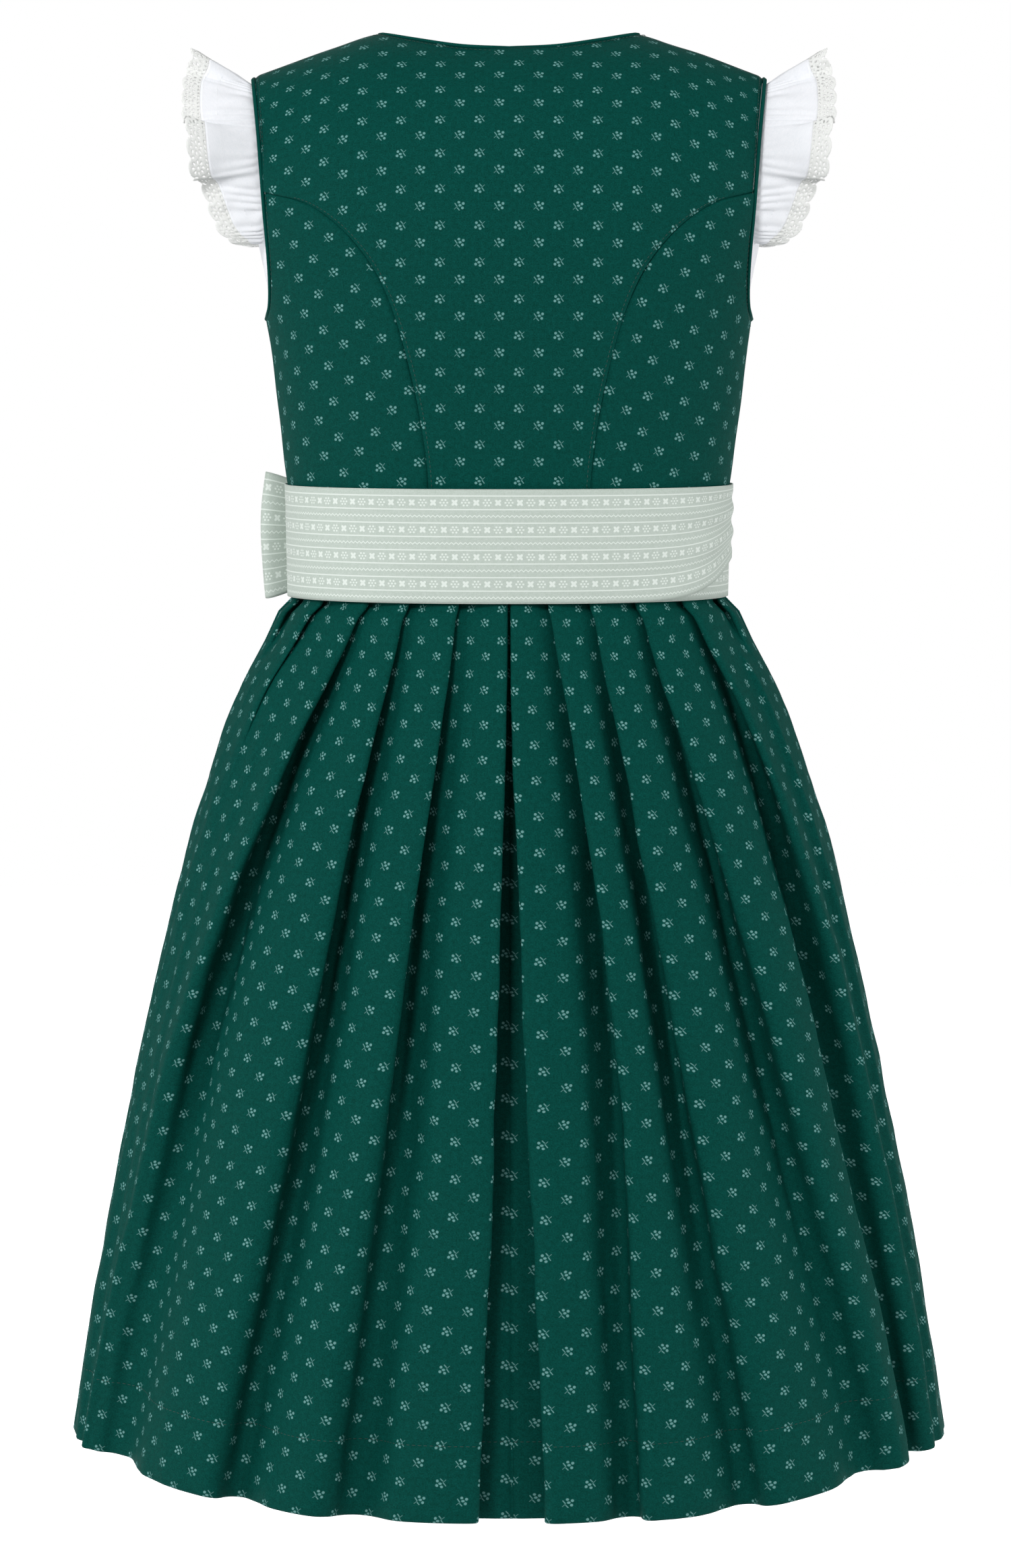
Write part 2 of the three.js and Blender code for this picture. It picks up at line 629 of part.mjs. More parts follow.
// The pleats of a quarter at one height, as arc along the outline and distance out of it.
// Their fold edges point to arc 0. Each fold is a knife pleat that relaxes into a wave on its way down.
function pleatRun(pleats, length, z, endOut) {
  const height = pleatDepth(z);
  const turn = pleatTurn(z);
  const low = ease((-278 - z) / 450);
  const shift = 1 - (1 - clamp((-278 - z) / 235, 0, 1)) ** 1.35;
  const softness = pleats.map((p) => p.soft * ease((-300 - z) / 360));
  const edges = pleats.map((p) => {
    const move = p.soft < 0.2 ? clamp((-320 - z) / 400, 0, 1) : shift;
    return length * mix(p.waist, p.hem, move);
  });
  const run = [];
  const add = (soft, arc, out, waveArc, waveOut) =>
    run.push({ arc: mix(arc, waveArc, soft), out: mix(out, waveOut, soft) });
  pleats.forEach((p, k) => {
    const edge = edges[k];
    const next = k + 1 < edges.length ? edges[k + 1] : 2 * edge - edges[k - 1];
    const back = k ? edge - edges[k - 1] : next - edge;
    const ahead = next - edge;
    const tuck = p.tuck * mix(0.85, 1.15, low);
    const soft = softness[k];
    add(soft, edge + tuck - turn, 0, edge - 0.3 * back, 0);
    add(soft, edge + tuck, turn, edge - 0.22 * back, 0.1 * height);
    add(soft, edge + tuck - turn, 2 * turn, edge - 0.15 * back, 0.32 * height);
    add(soft, edge + turn, height - 2 * turn, edge - 0.08 * back, 0.62 * height);
    add(soft, edge, height - turn, edge, 0.86 * height);
    add(soft, edge + turn, height, edge + 0.1 * ahead, height);
    add(soft, edge + 0.55 * ahead, 0.78 * height, edge + 0.38 * ahead, 0.78 * height);
    if (k + 1 < pleats.length) add(softness[k + 1], next, 0.3 * height, edge + 0.6 * ahead, 0.16 * height);
  });
  run.push({ arc: length - 0.45, out: endOut });
  return run;
}

// The two backs meet in a seam at the bottom of the centre pleat.
function skirtBack(name, sign, pleats) {
  const rows = skirtBackRows.map((z) => {
    const { length, pointAt } = skirtQuarter(z, "back");
    const run = [{ arc: edgeTrim, out: 0 }, ...pleatRun(pleats, length, z, 0.3 * pleatDepth(z))];
    return run.map(({ arc, out }) => {
      const at = pointAt(arc, out);
      return new THREE.Vector3(sign * at.x, at.y, z);
    });
  });
  return clothWall(name, rows, cloth.skirt, green);
}

function skirtFront() {
  const rows = skirtFrontRows.map((z) => {
    const { length, pointAt } = skirtQuarter(z, "front");
    const seamOut = 0.3 * pleatDepth(z);
    const run = pleatRun(frontPleats, length, z, 0.62 * pleatDepth(z)).slice(0, -1);
    const flat = [0.8, 0.9, 1].map((share) => ({ arc: share * length, out: 0.62 * pleatDepth(z) }));
    const half = [{ arc: 0.45, out: seamOut }, ...run, ...flat];
    const place = (sign) => (p) => {
      const at = pointAt(length - p.arc, p.out);
      return new THREE.Vector3(sign * at.x, -at.y, z);
    };
    return [...half.map(place(1)), ...half.slice(0, -1).reverse().map(place(-1))];
  });
  return clothWall("skirt_front", rows, cloth.skirt, green);
}

// ---- apron ----
function apron() {
  const gathers = 9;
  const heights = [sashBottomZ - seamGap * 2, -300, -336, -410, -560, apronHemZ];
  const rows = heights.map((z) => {
    const drop = (sashBottomZ - z) / (sashBottomZ - apronHemZ);
    const { length, pointAt } = skirtQuarter(z, "front");
    const reach = mix(0.52, 0.58, drop) * length;
    const clear = pleatDepth(z) + cloth.skirt / 2 + cloth.apron / 2 + 0.5;
    const depth = mix(0.7, 5.5, ease(drop * 1.4));
    return spread(gathers * 4).map((t) => {
      const arc = Math.abs(2 * t - 1) * reach;
      const wave = (1 - Math.cos(2 * Math.PI * gathers * t)) / 2;
      const at = pointAt(arc, clear + depth * wave);
      return new THREE.Vector3(Math.sign(t - 0.5) * at.x, -at.y, z);
    });
  });
  return clothWall("apron_panel", rows, cloth.apron, sage);
}

// ---- sash and bow ----
const sashHalf = columnCurve(sashSections, "z", "half");
const sashBack = columnCurve(sashSections, "z", "back");
const sashFront = columnCurve(sashSections, "z", "front");

// A point outside the waist: degrees run from the middle of the front (0) by the wearer's left (90) to the back.
function waistPoint(degrees, z, out) {
  const turn = THREE.MathUtils.degToRad(degrees);
  const half = sashHalf(z) + out;
  const depth = (Math.cos(turn) > 0 ? sashFront(z) : sashBack(z)) + out;
  const shape = (value) => Math.sign(value) * Math.abs(value) ** (2 / sectionPower);
  return new THREE.Vector3(half * shape(Math.sin(turn)), -depth * shape(Math.cos(turn)), z);
}

function sashFirstTurn() {
  const rows = spread(1).map((t) =>
    spread(48)
      .slice(0, -1)
      .map((u) => waistPoint(360 * u, mix(sashBottomZ, sashTopZ - 0.6, t), 0)),
  );
  return clothWall("sash_first_turn", rows, cloth.sash, sage, true);
}

// The second turn starts and ends at the bow; over the wearer's right side its lower edge rides up.
function sashSecondTurn() {
  const start = bowAngle + 2;
  const end = 360 + bowAngle - 2;
  const angles = spread(56).map((t) => mix(start, end, t));
  const rideUp = (degrees) => 27 * Math.exp(-(((degrees - 268) / 27) ** 2));
  const rows = spread(2).map((t) =>
    angles.map((degrees) => waistPoint(degrees, mix(sashBottomZ + rideUp(degrees), sashTopZ, t), sashTurnStep)),
  );
  return clothWall("sash_second_turn", rows, cloth.sash, sage);
}

const bowAngle = (() => {
  let degrees = 0;
  while (waistPoint(degrees, waistZ, sashTurnStep).x < bow.x) degrees += 0.5;
  return degrees;
})();
const bowRoot = waistPoint(bowAngle, waistZ, sashTurnStep + cloth.sash / 2 + seamGap);
const bowOut = waistPoint(bowAngle, waistZ, 30).sub(waistPoint(bowAngle, waistZ, 0)).normalize();
const bowAside = new THREE.Vector3(-bowOut.y, bowOut.x, 0);

// A place by the bow: aside towards the wearer's left, out of the body, and up.
function bowPlace(aside, out, up) {
  const place = bowRoot.clone().addScaledVector(bowAside, aside).addScaledVector(bowOut, out);
  return place.add(new THREE.Vector3(0, 0, up));
}

function bowKnot() {
  const around = spread(12)
    .slice(0, -1)
    .map((u) => 2 * Math.PI * u);
  const shape = (value) => Math.sign(value) * Math.abs(value) ** 0.7;
  const rows = spread(3).map((t) => {
    const up = mix(-0.5, 0.5, t) * bow.knotHeight;
    const swell = 0.86 + 0.14 * Math.cos(Math.PI * (t - 0.5));
    return around.map((turn) =>
      bowPlace(
        (bow.knotWidth / 2 - 0.7) * swell * shape(Math.cos(turn)),
        bow.knotDepth / 2 + (bow.knotDepth / 2 - 0.7) * shape(Math.sin(turn)),
        up,
      ),
    );
  });
  return clothWall("bow_knot", rows, 1.3, sage, true);
}

// A loop of the bow: a band folded back on itself, pinched at the knot. bend turns it towards the body.
function bowLoop(name, sign, bend, lift) {
  const steps = 16;
  const throat = bow.knotWidth / 2 + seamGap + cloth.sash / 2;
  const rows = spread(3).map((t) =>
    spread(steps)
      .slice(0, -1)
      .map((u) => {
        const turn = 2 * Math.PI * u;
        const along = (1 - Math.cos(turn)) / 2;
        const reach = throat + along * (bow.loopLength - throat);
        const gape = (bow.loopThickness / 2) * Math.sin(turn) * (0.35 + 0.65 * along) + 8;
        const tall = mix(bow.loopThroat, bow.loopHeight, ease(along * 1.25));
        const curl = THREE.MathUtils.degToRad(bend) * along;
        return bowPlace(sign * reach * Math.cos(curl), gape - reach * Math.sin(curl), (t - 0.5) * tall + lift * along);
      }),
  );
  return clothWall(name, rows, cloth.sash, sage, true);
}

// A tail of the bow, hanging down over the apron.
function bowTail(name, layer, topAside, endShare, length, slant) {
  const topZ = waistZ - bow.knotHeight / 2 - seamGap;
  const rows = spread(7).map((t) => {
    const z = mix(topZ, topZ - length, t);
    const onSkirt = ease((-266 - z) / 30);
    const width = mix(19, 56, ease(t * 2.2));
    return spread(5).map((u) => {
      const side = (u - 0.5) * width;
      const height = z - slant * (u - 0.5) * t;
      const { length: girth, pointAt } = skirtQuarter(height, "front");
      const lead = bow.x + topAside + (endShare * girth - bow.x - topAside) * ease(t * 1.2);
      const clear = pleatDepth(height) + 9 + layer * 4.2 + 0.8 * Math.sin(Math.PI * 2 * u);
      const hung = pointAt(lead + side, clear);
      const tied = bowPlace(side + topAside, bow.knotDepth / 2 + layer * 4.2 - 2.6, 0);
      return new THREE.Vector3(mix(tied.x, hung.x, onSkirt), mix(tied.y, -hung.y, onSkirt), height);
    });
  });
  return clothWall(name, rows, cloth.sash, sage);
}

// ---- buttons ----
function button(index, z) {
  const radius = 5.4;
  const profile = [
    [0, 0],
    [radius - 0.9, 0],
    [radius, 1.2],
    [radius - 0.9, 2.4],
    [0, 2.0],
  ].map(([r, h]) => new THREE.Vector2(r, h));
  const mesh = new THREE.Mesh(new THREE.LatheGeometry(profile, 10), horn);
  mesh.name = `button_${index + 1}`;
  const seat = bodyPoint(0, z, "front");
  const normal = bodyNormal(0, z, "front");
  mesh.quaternion.setFromUnitVectors(new THREE.Vector3(0, 1, 0), normal);
  mesh.position.copy(seat).addScaledVector(normal, cloth.bodice / 2 + seamGap);
  return mesh;
}

// ---- the dress ----
const dressLayer = {
  armhole: "dress",
  neck: dressFrontNeck,
  neckSteps: dressNeckSteps,
  underarm: underarmZ,
  heights: bodiceRows,
  inset: 0,
  thickness: cloth.bodice,
  material: green,
};
const blouseLayer = {
  armhole: "blouse",
  neck: blouseFrontNeck,
  neckSteps: blouseNeckSteps,
  underarm: blouseUnderarmZ,
  heights: blouseRows,
  inset: blouseInset,
  thickness: cloth.blouse,
  material: white,
};
const dress = new THREE.Group();
dress.add(
  backCentrePanel(),
  backSidePanel("bodice_back_side_left", 1),
  backSidePanel("bodice_back_side_right", -1),
  frontPanel("bodice_front_left", 1, dressLayer),
  frontPanel("bodice_front_right", -1, dressLayer),
  armholeBinding("armhole_binding_left", 1),
  armholeBinding("armhole_binding_right", -1),
  neckBinding(),
  blouseBack(),
  frontPanel("blouse_front_left", 1, blouseLayer),
  frontPanel("blouse_front_right", -1, blouseLayer),
  sleeve("sleeve_left", 1),
  sleeve("sleeve_right", -1),
  sleeveLace("sleeve_lace_left", 1),
  sleeveLace("sleeve_lace_right", -1),
  skirtBack("skirt_back_left", 1, backLeftPleats),
  skirtBack("skirt_back_right", -1, backRightPleats),
  skirtFront(),
  apron(),
  sashFirstTurn(),
  sashSecondTurn(),
  bowKnot(),
  bowLoop("bow_loop_left", 1, 2, 0),
  bowLoop("bow_loop_right", -1, 16, -3),
  bowTail("bow_tail_left", 0, 1, 0.46, 262, 14),
  bowTail("bow_tail_right", 1, -1, 0.26, 236, -14),
);
buttonHeights.forEach((z, index) => dress.add(button(index, z)));

export default dress;
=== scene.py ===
import math

import bpy
import numpy as np
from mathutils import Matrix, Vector


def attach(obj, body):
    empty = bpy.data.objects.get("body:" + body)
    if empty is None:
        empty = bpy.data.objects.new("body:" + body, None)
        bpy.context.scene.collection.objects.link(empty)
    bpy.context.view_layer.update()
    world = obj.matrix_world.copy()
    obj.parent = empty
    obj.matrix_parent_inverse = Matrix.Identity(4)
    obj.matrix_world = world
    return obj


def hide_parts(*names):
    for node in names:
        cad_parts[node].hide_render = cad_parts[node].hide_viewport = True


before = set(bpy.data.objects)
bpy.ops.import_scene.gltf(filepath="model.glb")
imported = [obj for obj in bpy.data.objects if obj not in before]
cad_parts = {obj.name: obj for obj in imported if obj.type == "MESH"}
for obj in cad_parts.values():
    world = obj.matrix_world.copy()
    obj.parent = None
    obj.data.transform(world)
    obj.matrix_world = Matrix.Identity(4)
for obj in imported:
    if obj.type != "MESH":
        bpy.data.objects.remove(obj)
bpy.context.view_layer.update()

# A girl's dirndl, worn by nobody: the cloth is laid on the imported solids, in their own frame.
# Tables are in millimetres and meshes in metres. The front faces -Y and the wearer's left is +X.
mm = 0.001
bothSides = (("left", 1), ("right", -1))


# curves and small helpers
def mix(a, b, t):
    return a + (b - a) * t


def ease(t):
    t = np.clip(t, 0.0, 1.0)
    return t * t * (3 - 2 * t)


def bump(t, centre, width):
    return np.exp(-(((t - centre) / width) ** 2))


def columnCurve(pairs):
    pairs = sorted(pairs)
    at = np.array([p[0] for p in pairs], float)
    to = np.array([p[1] for p in pairs], float)
    last = len(at) - 1
    low = np.maximum(np.arange(last + 1) - 1, 0)
    high = np.minimum(np.arange(last + 1) + 1, last)
    slope = (to[high] - to[low]) / (at[high] - at[low])

    def value(where):
        t = np.clip(where, at[0], at[-1])
        i = np.clip(np.searchsorted(at, t, side="left") - 1, 0, last - 1)
        span = at[i + 1] - at[i]
        u = (t - at[i]) / span
        bend = (2 * u - 3) * u * u + 1
        return (to[i] * bend + to[i + 1] * (1 - bend)
                + slope[i] * span * u * (1 - u) ** 2 - slope[i + 1] * span * u * u * (1 - u))

    return value


def smoothThrough(points, counts):
    # centripetal curve through points (rows, n, 3), counts samples in each span
    ends = [2 * points[:, :1] - points[:, 1:2], points, 2 * points[:, -1:] - points[:, -2:-1]]
    p = np.concatenate(ends, axis=1)
    gap = np.maximum(np.linalg.norm(np.diff(p, axis=1), axis=2, keepdims=True), 1e-4) ** 0.5
    pieces = []
    for i, count in enumerate(counts):
        p0, p1, p2, p3 = (p[:, i + k][:, None] for k in range(4))
        d0, d1, d2 = (gap[:, i + k][:, None] for k in range(3))
        m1 = ((p1 - p0) / d0 - (p2 - p0) / (d0 + d1) + (p2 - p1) / d1) * d1
        m2 = ((p2 - p1) / d1 - (p3 - p1) / (d1 + d2) + (p3 - p2) / d2) * d1
        t = (np.arange(count) / count)[None, :, None]
        pieces.append((2 * t ** 3 - 3 * t * t + 1) * p1 + (t ** 3 - 2 * t * t + t) * m1
                      + (3 * t * t - 2 * t ** 3) * p2 + (t ** 3 - t * t) * m2)
    pieces.append(points[:, -1:])
    return np.concatenate(pieces, axis=1)


def softNoise(u, v, size, seed, octaves=3):
    # smooth wandering values from -1 to 1 over u and v, about size across
    pick = np.random.default_rng(seed)
    total = np.zeros(np.broadcast(u, v).shape)
    for octave in range(octaves):
        for _ in range(5):
            angle, phase = pick.uniform(0, 2 * math.pi, 2)
            wave = size / (1.7 ** octave) * pick.uniform(0.8, 1.4)
            turn = 2 * math.pi / wave
            total += np.sin(turn * (u * math.cos(angle) + v * math.sin(angle)) + phase) / (2 ** octave)
    return total / 5.0


def gridNormals(grid):
    across = np.gradient(grid, axis=1)
    up = np.gradient(grid, axis=0)
    n = np.cross(across, up)
    return n / np.maximum(np.linalg.norm(n, axis=2, keepdims=True), 1e-9)


def pushed(grid, amount, sign=1):
    # the grid with each point moved along its normal
    return grid + gridNormals(grid) * (sign * amount)[..., None]


def runAlong(grid, axis):
    # distance walked along each line of the grid
    step = np.linalg.norm(np.diff(grid, axis=axis), axis=2)
    first = np.zeros_like(np.take(step, [0], axis=axis))
    return np.concatenate([first, np.cumsum(step, axis=axis)], axis=axis)


def gridArea(grid):
    a, b, c, d = grid[:-1, :-1], grid[:-1, 1:], grid[1:, 1:], grid[1:, :-1]
    return 0.5 * float(np.linalg.norm(np.cross(c - a, d - b), axis=2).sum()) * 1e-6


# meshes
def selectOnly(obj):
    bpy.ops.object.select_all(action="DESELECT")
    obj.select_set(True)
    bpy.context.view_layer.objects.active = obj


def makeObject(name, vertices, faces, cloth):
    # cloth is a material and the colour slot it belongs to; the slot is not used
    material, slot = cloth
    mesh = bpy.data.meshes.new(name)
    mesh.from_pydata(vertices, [], faces)
    obj = bpy.data.objects.new(name, mesh)
    bpy.context.collection.objects.link(obj)
    mesh.materials.append(material)
    selectOnly(obj)
    bpy.ops.object.shade_smooth()
    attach(obj, "root")
    return obj


def sheetObject(name, node, grid, uv, thickness, cloth, around=False, keep=None):
    # a sheet through rows of points, in place of a solid's node; uv is in metres, with one more column
    # where the sheet goes around, and keep tells which squares are cloth
    rows, columns = grid.shape[:2]
    spans = columns if around else columns - 1
    j, i = np.meshgrid(np.arange(rows - 1), np.arange(spans), indexing="ij")
    if keep is not None:
        j, i = j[keep], i[keep]
    j, i = j.ravel(), i.ravel()
    n = (i + 1) % columns
    here, above = j * columns, (j + 1) * columns
    quads = np.stack([here + i, here + n, above + n, above + i], axis=1)
    corner = np.stack([uv[j, i], uv[j, i + 1], uv[j + 1, i + 1], uv[j + 1, i]], axis=1)
    points = grid.reshape(-1, 3) * mm
    if keep is not None:
        used = np.unique(quads)
        renumber = np.zeros(len(points), int)
        renumber[used] = np.arange(len(used))
        points, quads = points[used], renumber[quads]
    obj = makeObject(name, points.tolist(), quads.tolist(), cloth)
    layer = obj.data.uv_layers.new(name="cloth")
    layer.data.foreach_set("uv", corner.reshape(-1).astype(np.float32))
    wall = obj.modifiers.new("wall", "SOLIDIFY")
    wall.thickness = thickness * mm
    wall.offset = 0
    bpy.ops.object.modifier_apply(modifier=wall.name)
    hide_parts(node)
    return obj


def insetLine(grid, edge, distance):
    # points and normals on the sheet at a distance from one of its edges
    normals = gridNormals(grid)
    if edge in ("bottom", "top"):
        grid, normals = grid.transpose(1, 0, 2), normals.transpose(1, 0, 2)
    if edge in ("end", "top"):
        grid, normals = grid[:, ::-1], normals[:, ::-1]
    walked = runAlong(grid, 1)
    points, facing = [], []
    for line, normal, run in zip(grid, normals, walked):
        points.append([np.interp(distance, run, line[:, k]) for k in range(3)])
        facing.append([np.interp(distance, run, normal[:, k]) for k in range(3)])
    return np.array(points), np.array(facing)


def resample(points, step, extra=None):
    walked = np.concatenate([[0], np.cumsum(np.linalg.norm(np.diff(points, axis=0), axis=1))])
    count = max(2, int(walked[-1] / step))
    at = np.linspace(0, walked[-1], count + 1)
    line = np.stack([np.interp(at, walked, points[:, k]) for k in range(3)], axis=1)
    if extra is None:
        return line
    return line, np.stack([np.interp(at, walked, extra[:, k]) for k in range(3)], axis=1)


def unit(v):
    return v / np.maximum(np.linalg.norm(v, axis=-1, keepdims=True), 1e-9)


def stitchRow(name, lines, settings, thread):
    # short sunk threads along lines of (points, normals); each is a spindle
    length, gap, radius, lift = (settings[k] for k in ("length", "gap", "radius", "lift"))
    sides = 5
    # along the stitch in its lengths, then its width and height in its radii
    stations = [(-0.5, 0.15, -0.9), (-0.3, 0.9, -0.1), (0.0, 1.0, 0.15), (0.3, 0.9, -0.1), (0.5, 0.15, -0.9)]
    vertices, faces = [], []
    for points, normals in lines:
        line, facing = resample(points, length + gap, normals)
        middle, along = (line[1:] + line[:-1]) / 2, unit(line[1:] - line[:-1])
        up = unit((facing[1:] + facing[:-1]) / 2)
        aside = np.cross(along, up)
        for m, a, u, s in zip(middle, along, up, aside):
            base = len(vertices)
            for where, wide, high in stations:
                for k in range(sides):
                    turn = 2 * math.pi * k / sides
                    rise = lift + radius * (high + wide * math.sin(turn))
                    across = s * radius * wide * math.cos(turn)
                    vertices.append((m + a * where * length + u * rise + across) * mm)
            for r in range(len(stations) - 1):
                for k in range(sides):
                    n = (k + 1) % sides
                    faces.append((base + r * sides + k, base + r * sides + n,
                                  base + (r + 1) * sides + n, base + (r + 1) * sides + k))
            faces.append(tuple(base + k for k in reversed(range(sides))))
            faces.append(tuple(base + (len(stations) - 1) * sides + k for k in range(sides)))
    return makeObject(name, vertices, faces, thread)


def rollObject(name, node, points, normals, radius, cloth, loop):
    # a covered cord along points, in place of a node; normals set the direction its rings start from
    sides = 12
    if loop:
        along = unit(np.roll(points, -1, axis=0) - np.roll(points, 1, axis=0))
    else:
        along = unit(np.gradient(points, axis=0))
    up = unit(normals - along * (normals * along).sum(axis=1, keepdims=True))
    aside = np.cross(along, up)
    turn = 2 * math.pi * np.arange(sides) / sides
    ring = (up[:, None] * np.sin(turn)[None, :, None] + aside[:, None] * np.cos(turn)[None, :, None]) * radius
    grid = points[:, None] + ring
    rows = len(points)
    faces = []
    for j in range(rows if loop else rows - 1):
        n = (j + 1) % rows
        for k in range(sides):
            m = (k + 1) % sides
            faces.append((j * sides + k, j * sides + m, n * sides + m, n * sides + k))
    if not loop:
        faces.append(tuple(reversed(range(sides))))
        faces.append(tuple((rows - 1) * sides + k for k in range(sides)))
    obj = makeObject(name, (grid.reshape(-1, 3) * mm).tolist(), faces, cloth)
    bpy.ops.object.mode_set(mode="EDIT")
    bpy.ops.mesh.select_all(action="SELECT")
    bpy.ops.mesh.normals_make_consistent(inside=False)
    bpy.ops.object.mode_set(mode="OBJECT")
    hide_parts(node)


# node helpers
class Wire:
    # a shader value that can stand in a formula: each step of the formula is a Math node
    def __init__(self, tree, socket):
        self.tree, self.socket = tree, socket

    def step(self, operation, *values, clamped=False):
        node = self.tree.nodes.new("ShaderNodeMath")
        node.operation = operation
        node.use_clamp = clamped
        for socket, value in zip(node.inputs, values):
            linkOrSet(self.tree, socket, value)
        return Wire(self.tree, node.outputs[0])

    def of(self, operation):
        return self.step(operation, self)

    def __add__(self, other):
        return self.step("ADD", self, other)

    def __sub__(self, other):
        return self.step("SUBTRACT", self, other)

    def __rsub__(self, other):
        return self.step("SUBTRACT", other, self)

    def __mul__(self, other):
        return self.step("MULTIPLY", self, other)

    def __truediv__(self, other):
        return self.step("DIVIDE", self, other)

    def __rtruediv__(self, other):
        return self.step("DIVIDE", other, self)

    def __mod__(self, other):
        return self.step("FLOORED_MODULO", self, other)

    def __abs__(self):
        return self.of("ABSOLUTE")


def linkOrSet(tree, socket, value):
    if isinstance(value, Wire):
        tree.links.new(value.socket, socket)
    elif isinstance(value, bpy.types.NodeSocket):
        tree.links.new(value, socket)
    else:
        socket.default_value = value


def vectorNode(tree, operation, *values, output="Vector"):
    node = tree.nodes.new("ShaderNodeVectorMath")
    node.operation = operation
    for socket, value in zip(node.inputs, values):
        linkOrSet(tree, socket, value)
    return node.outputs[output]


def vectorValue(tree, operation, *values):
    # the length of a vector, or the dot product of two, as one number
    return Wire(tree, vectorNode(tree, operation, *values, output="Value"))


def scaleNode(tree, vector, factor):
    node = tree.nodes.new("ShaderNodeVectorMath")
    node.operation = "SCALE"
    linkOrSet(tree, node.inputs[0], vector)
    linkOrSet(tree, node.inputs["Scale"], factor)
    return node.outputs["Vector"]


def joinXY(tree, x, y):
    node = tree.nodes.new("ShaderNodeCombineXYZ")
    linkOrSet(tree, node.inputs[0], x)
    linkOrSet(tree, node.inputs[1], y)
    return node.outputs[0]


def clothXY(tree, vector):
    # the two cloth coordinates, from metres to millimetres
    node = tree.nodes.new("ShaderNodeSeparateXYZ")
    tree.links.new(vector, node.inputs[0])
    return [Wire(tree, output) * 1000.0 for output in node.outputs[:2]]


def mixColour(tree, factor, a, b):
    node = tree.nodes.new("ShaderNodeMix")
    node.data_type = "RGBA"
    for socket, value in zip((node.inputs[0], node.inputs[6], node.inputs[7]), (factor, a, b)):
        linkOrSet(tree, socket, value)
    return node.outputs[2]


def rangeNode(tree, value, fromLow, fromHigh, toLow, toHigh):
    node = tree.nodes.new("ShaderNodeMapRange")
    for socket, v in zip(node.inputs, (value, fromLow, fromHigh, toLow, toHigh)):
        linkOrSet(tree, socket, v)
    return Wire(tree, node.outputs[0])


def noiseNode(tree, vector, scale, detail):
    node = tree.nodes.new("ShaderNodeTexNoise")
    tree.links.new(vector, node.inputs["Vector"])
    node.inputs["Scale"].default_value = scale
    node.inputs["Detail"].default_value = detail
    return Wire(tree, node.outputs["Fac"])


def newGroup(name, inputs, outputs):
    # inputs are (name, kind of socket, value); every output is a number
    tree = bpy.data.node_groups.new(name, "ShaderNodeTree")
    for label, kind, value in inputs:
        socket = tree.interface.new_socket(name=label, in_out="INPUT", socket_type=kind)
        if value is not None:
            socket.default_value = value
    for label in outputs:
        tree.interface.new_socket(name=label, in_out="OUTPUT", socket_type="NodeSocketFloat")
    return tree, tree.nodes.new("NodeGroupInput").outputs, tree.nodes.new("NodeGroupOutput").inputs


def smallest(values):
    while len(values) > 1:
        values = [values[k].step("MINIMUM", *values[k:k + 2]) if k + 1 < len(values) else values[k]
                  for k in range(0, len(values), 2)]
    return values[0]


def linear(hexColour):
    parts = [int(hexColour[k:k + 2], 16) / 255 for k in (1, 3, 5)]
    return tuple(c / 12.92 if c <= 0.04045 else ((c + 0.055) / 1.055) ** 2.4 for c in parts) + (1.0,)


# A small printed sprig: three round buds, two ovals, a leaf each side and a thin stem.
sprig = {
    "rowPitch": 9.2, "motifPitch": 19.9, "edge": 0.17,
    "ovals": [(-1.46, 0.89, 0.66, 0.66), (-1.88, -1.34, 0.67, 0.67), (-0.25, -0.42, 0.76, 0.57),
              (0.33, -1.97, 0.67, 0.6)],
    "strokes": [(0.12, 1.93, 1.05, 0.92, 0.21), (1.11, 0.16, 2.56, 1.47, 0.09),
                (1.35, -0.1, 2.28, -1.4, 0.21)],
}


def buildSprigPrint():
    tree, given, out = newGroup("sprigPrint", [("Vector", "NodeSocketVector", None)], ["Mask"])
    x, y = clothXY(tree, given[0])
    pitch, rowPitch = sprig["motifPitch"], sprig["rowPitch"]
    row = (y / rowPitch).of("FLOOR")
    odd = row % 2.0
    y = y - (row + 0.5) * rowPitch
    x = (x + odd * (pitch / 2)) % pitch - pitch / 2
    place = scaleNode(tree, joinXY(tree, x, y), 1.0 - odd * 2.0)
    parts = []
    for cx, cy, rx, ry in sprig["ovals"]:
        offset = vectorNode(tree, "SUBTRACT", place, (cx, cy, 0))
        far = vectorValue(tree, "LENGTH", vectorNode(tree, "MULTIPLY", offset, (1 / rx, 1 / ry, 0)))
        parts.append((far - 1.0) * min(rx, ry))
    for ax, ay, bx, by, half in sprig["strokes"]:
        reach = (bx - ax, by - ay, 0)
        offset = vectorNode(tree, "SUBTRACT", place, (ax, ay, 0))
        dot = vectorValue(tree, "DOT_PRODUCT", offset, reach)
        share = dot.step("DIVIDE", dot, reach[0] ** 2 + reach[1] ** 2, clamped=True)
        rest = vectorNode(tree, "SUBTRACT", offset, scaleNode(tree, reach, share))
        parts.append(vectorValue(tree, "LENGTH", rest) - half)
    linkOrSet(tree, out[0], rangeNode(tree, smallest(parts), -sprig["edge"], sprig["edge"], 1.0, 0.0))
    return tree


# Woven bands of the apron cloth: lines with rows of small flowers and zigzags between them.
band = {
    "pitch": 6.87, "line": 0.29, "edge": 0.14,
    "rows": 16,  # bands counted above the cloth's upper edge, so that every height is above zero
    "topShift": 3.4, "elsewhere": 9.0,
    "motif": 11.0, "dotRing": 1.55, "ringWide": 1.14, "dot": 0.47, "petal": (0.98, 0.64),
    "zigzag": 2.36, "zigzagHeight": 0.5, "zigzagLine": 0.2, "zigzagSlope": 0.75,
}


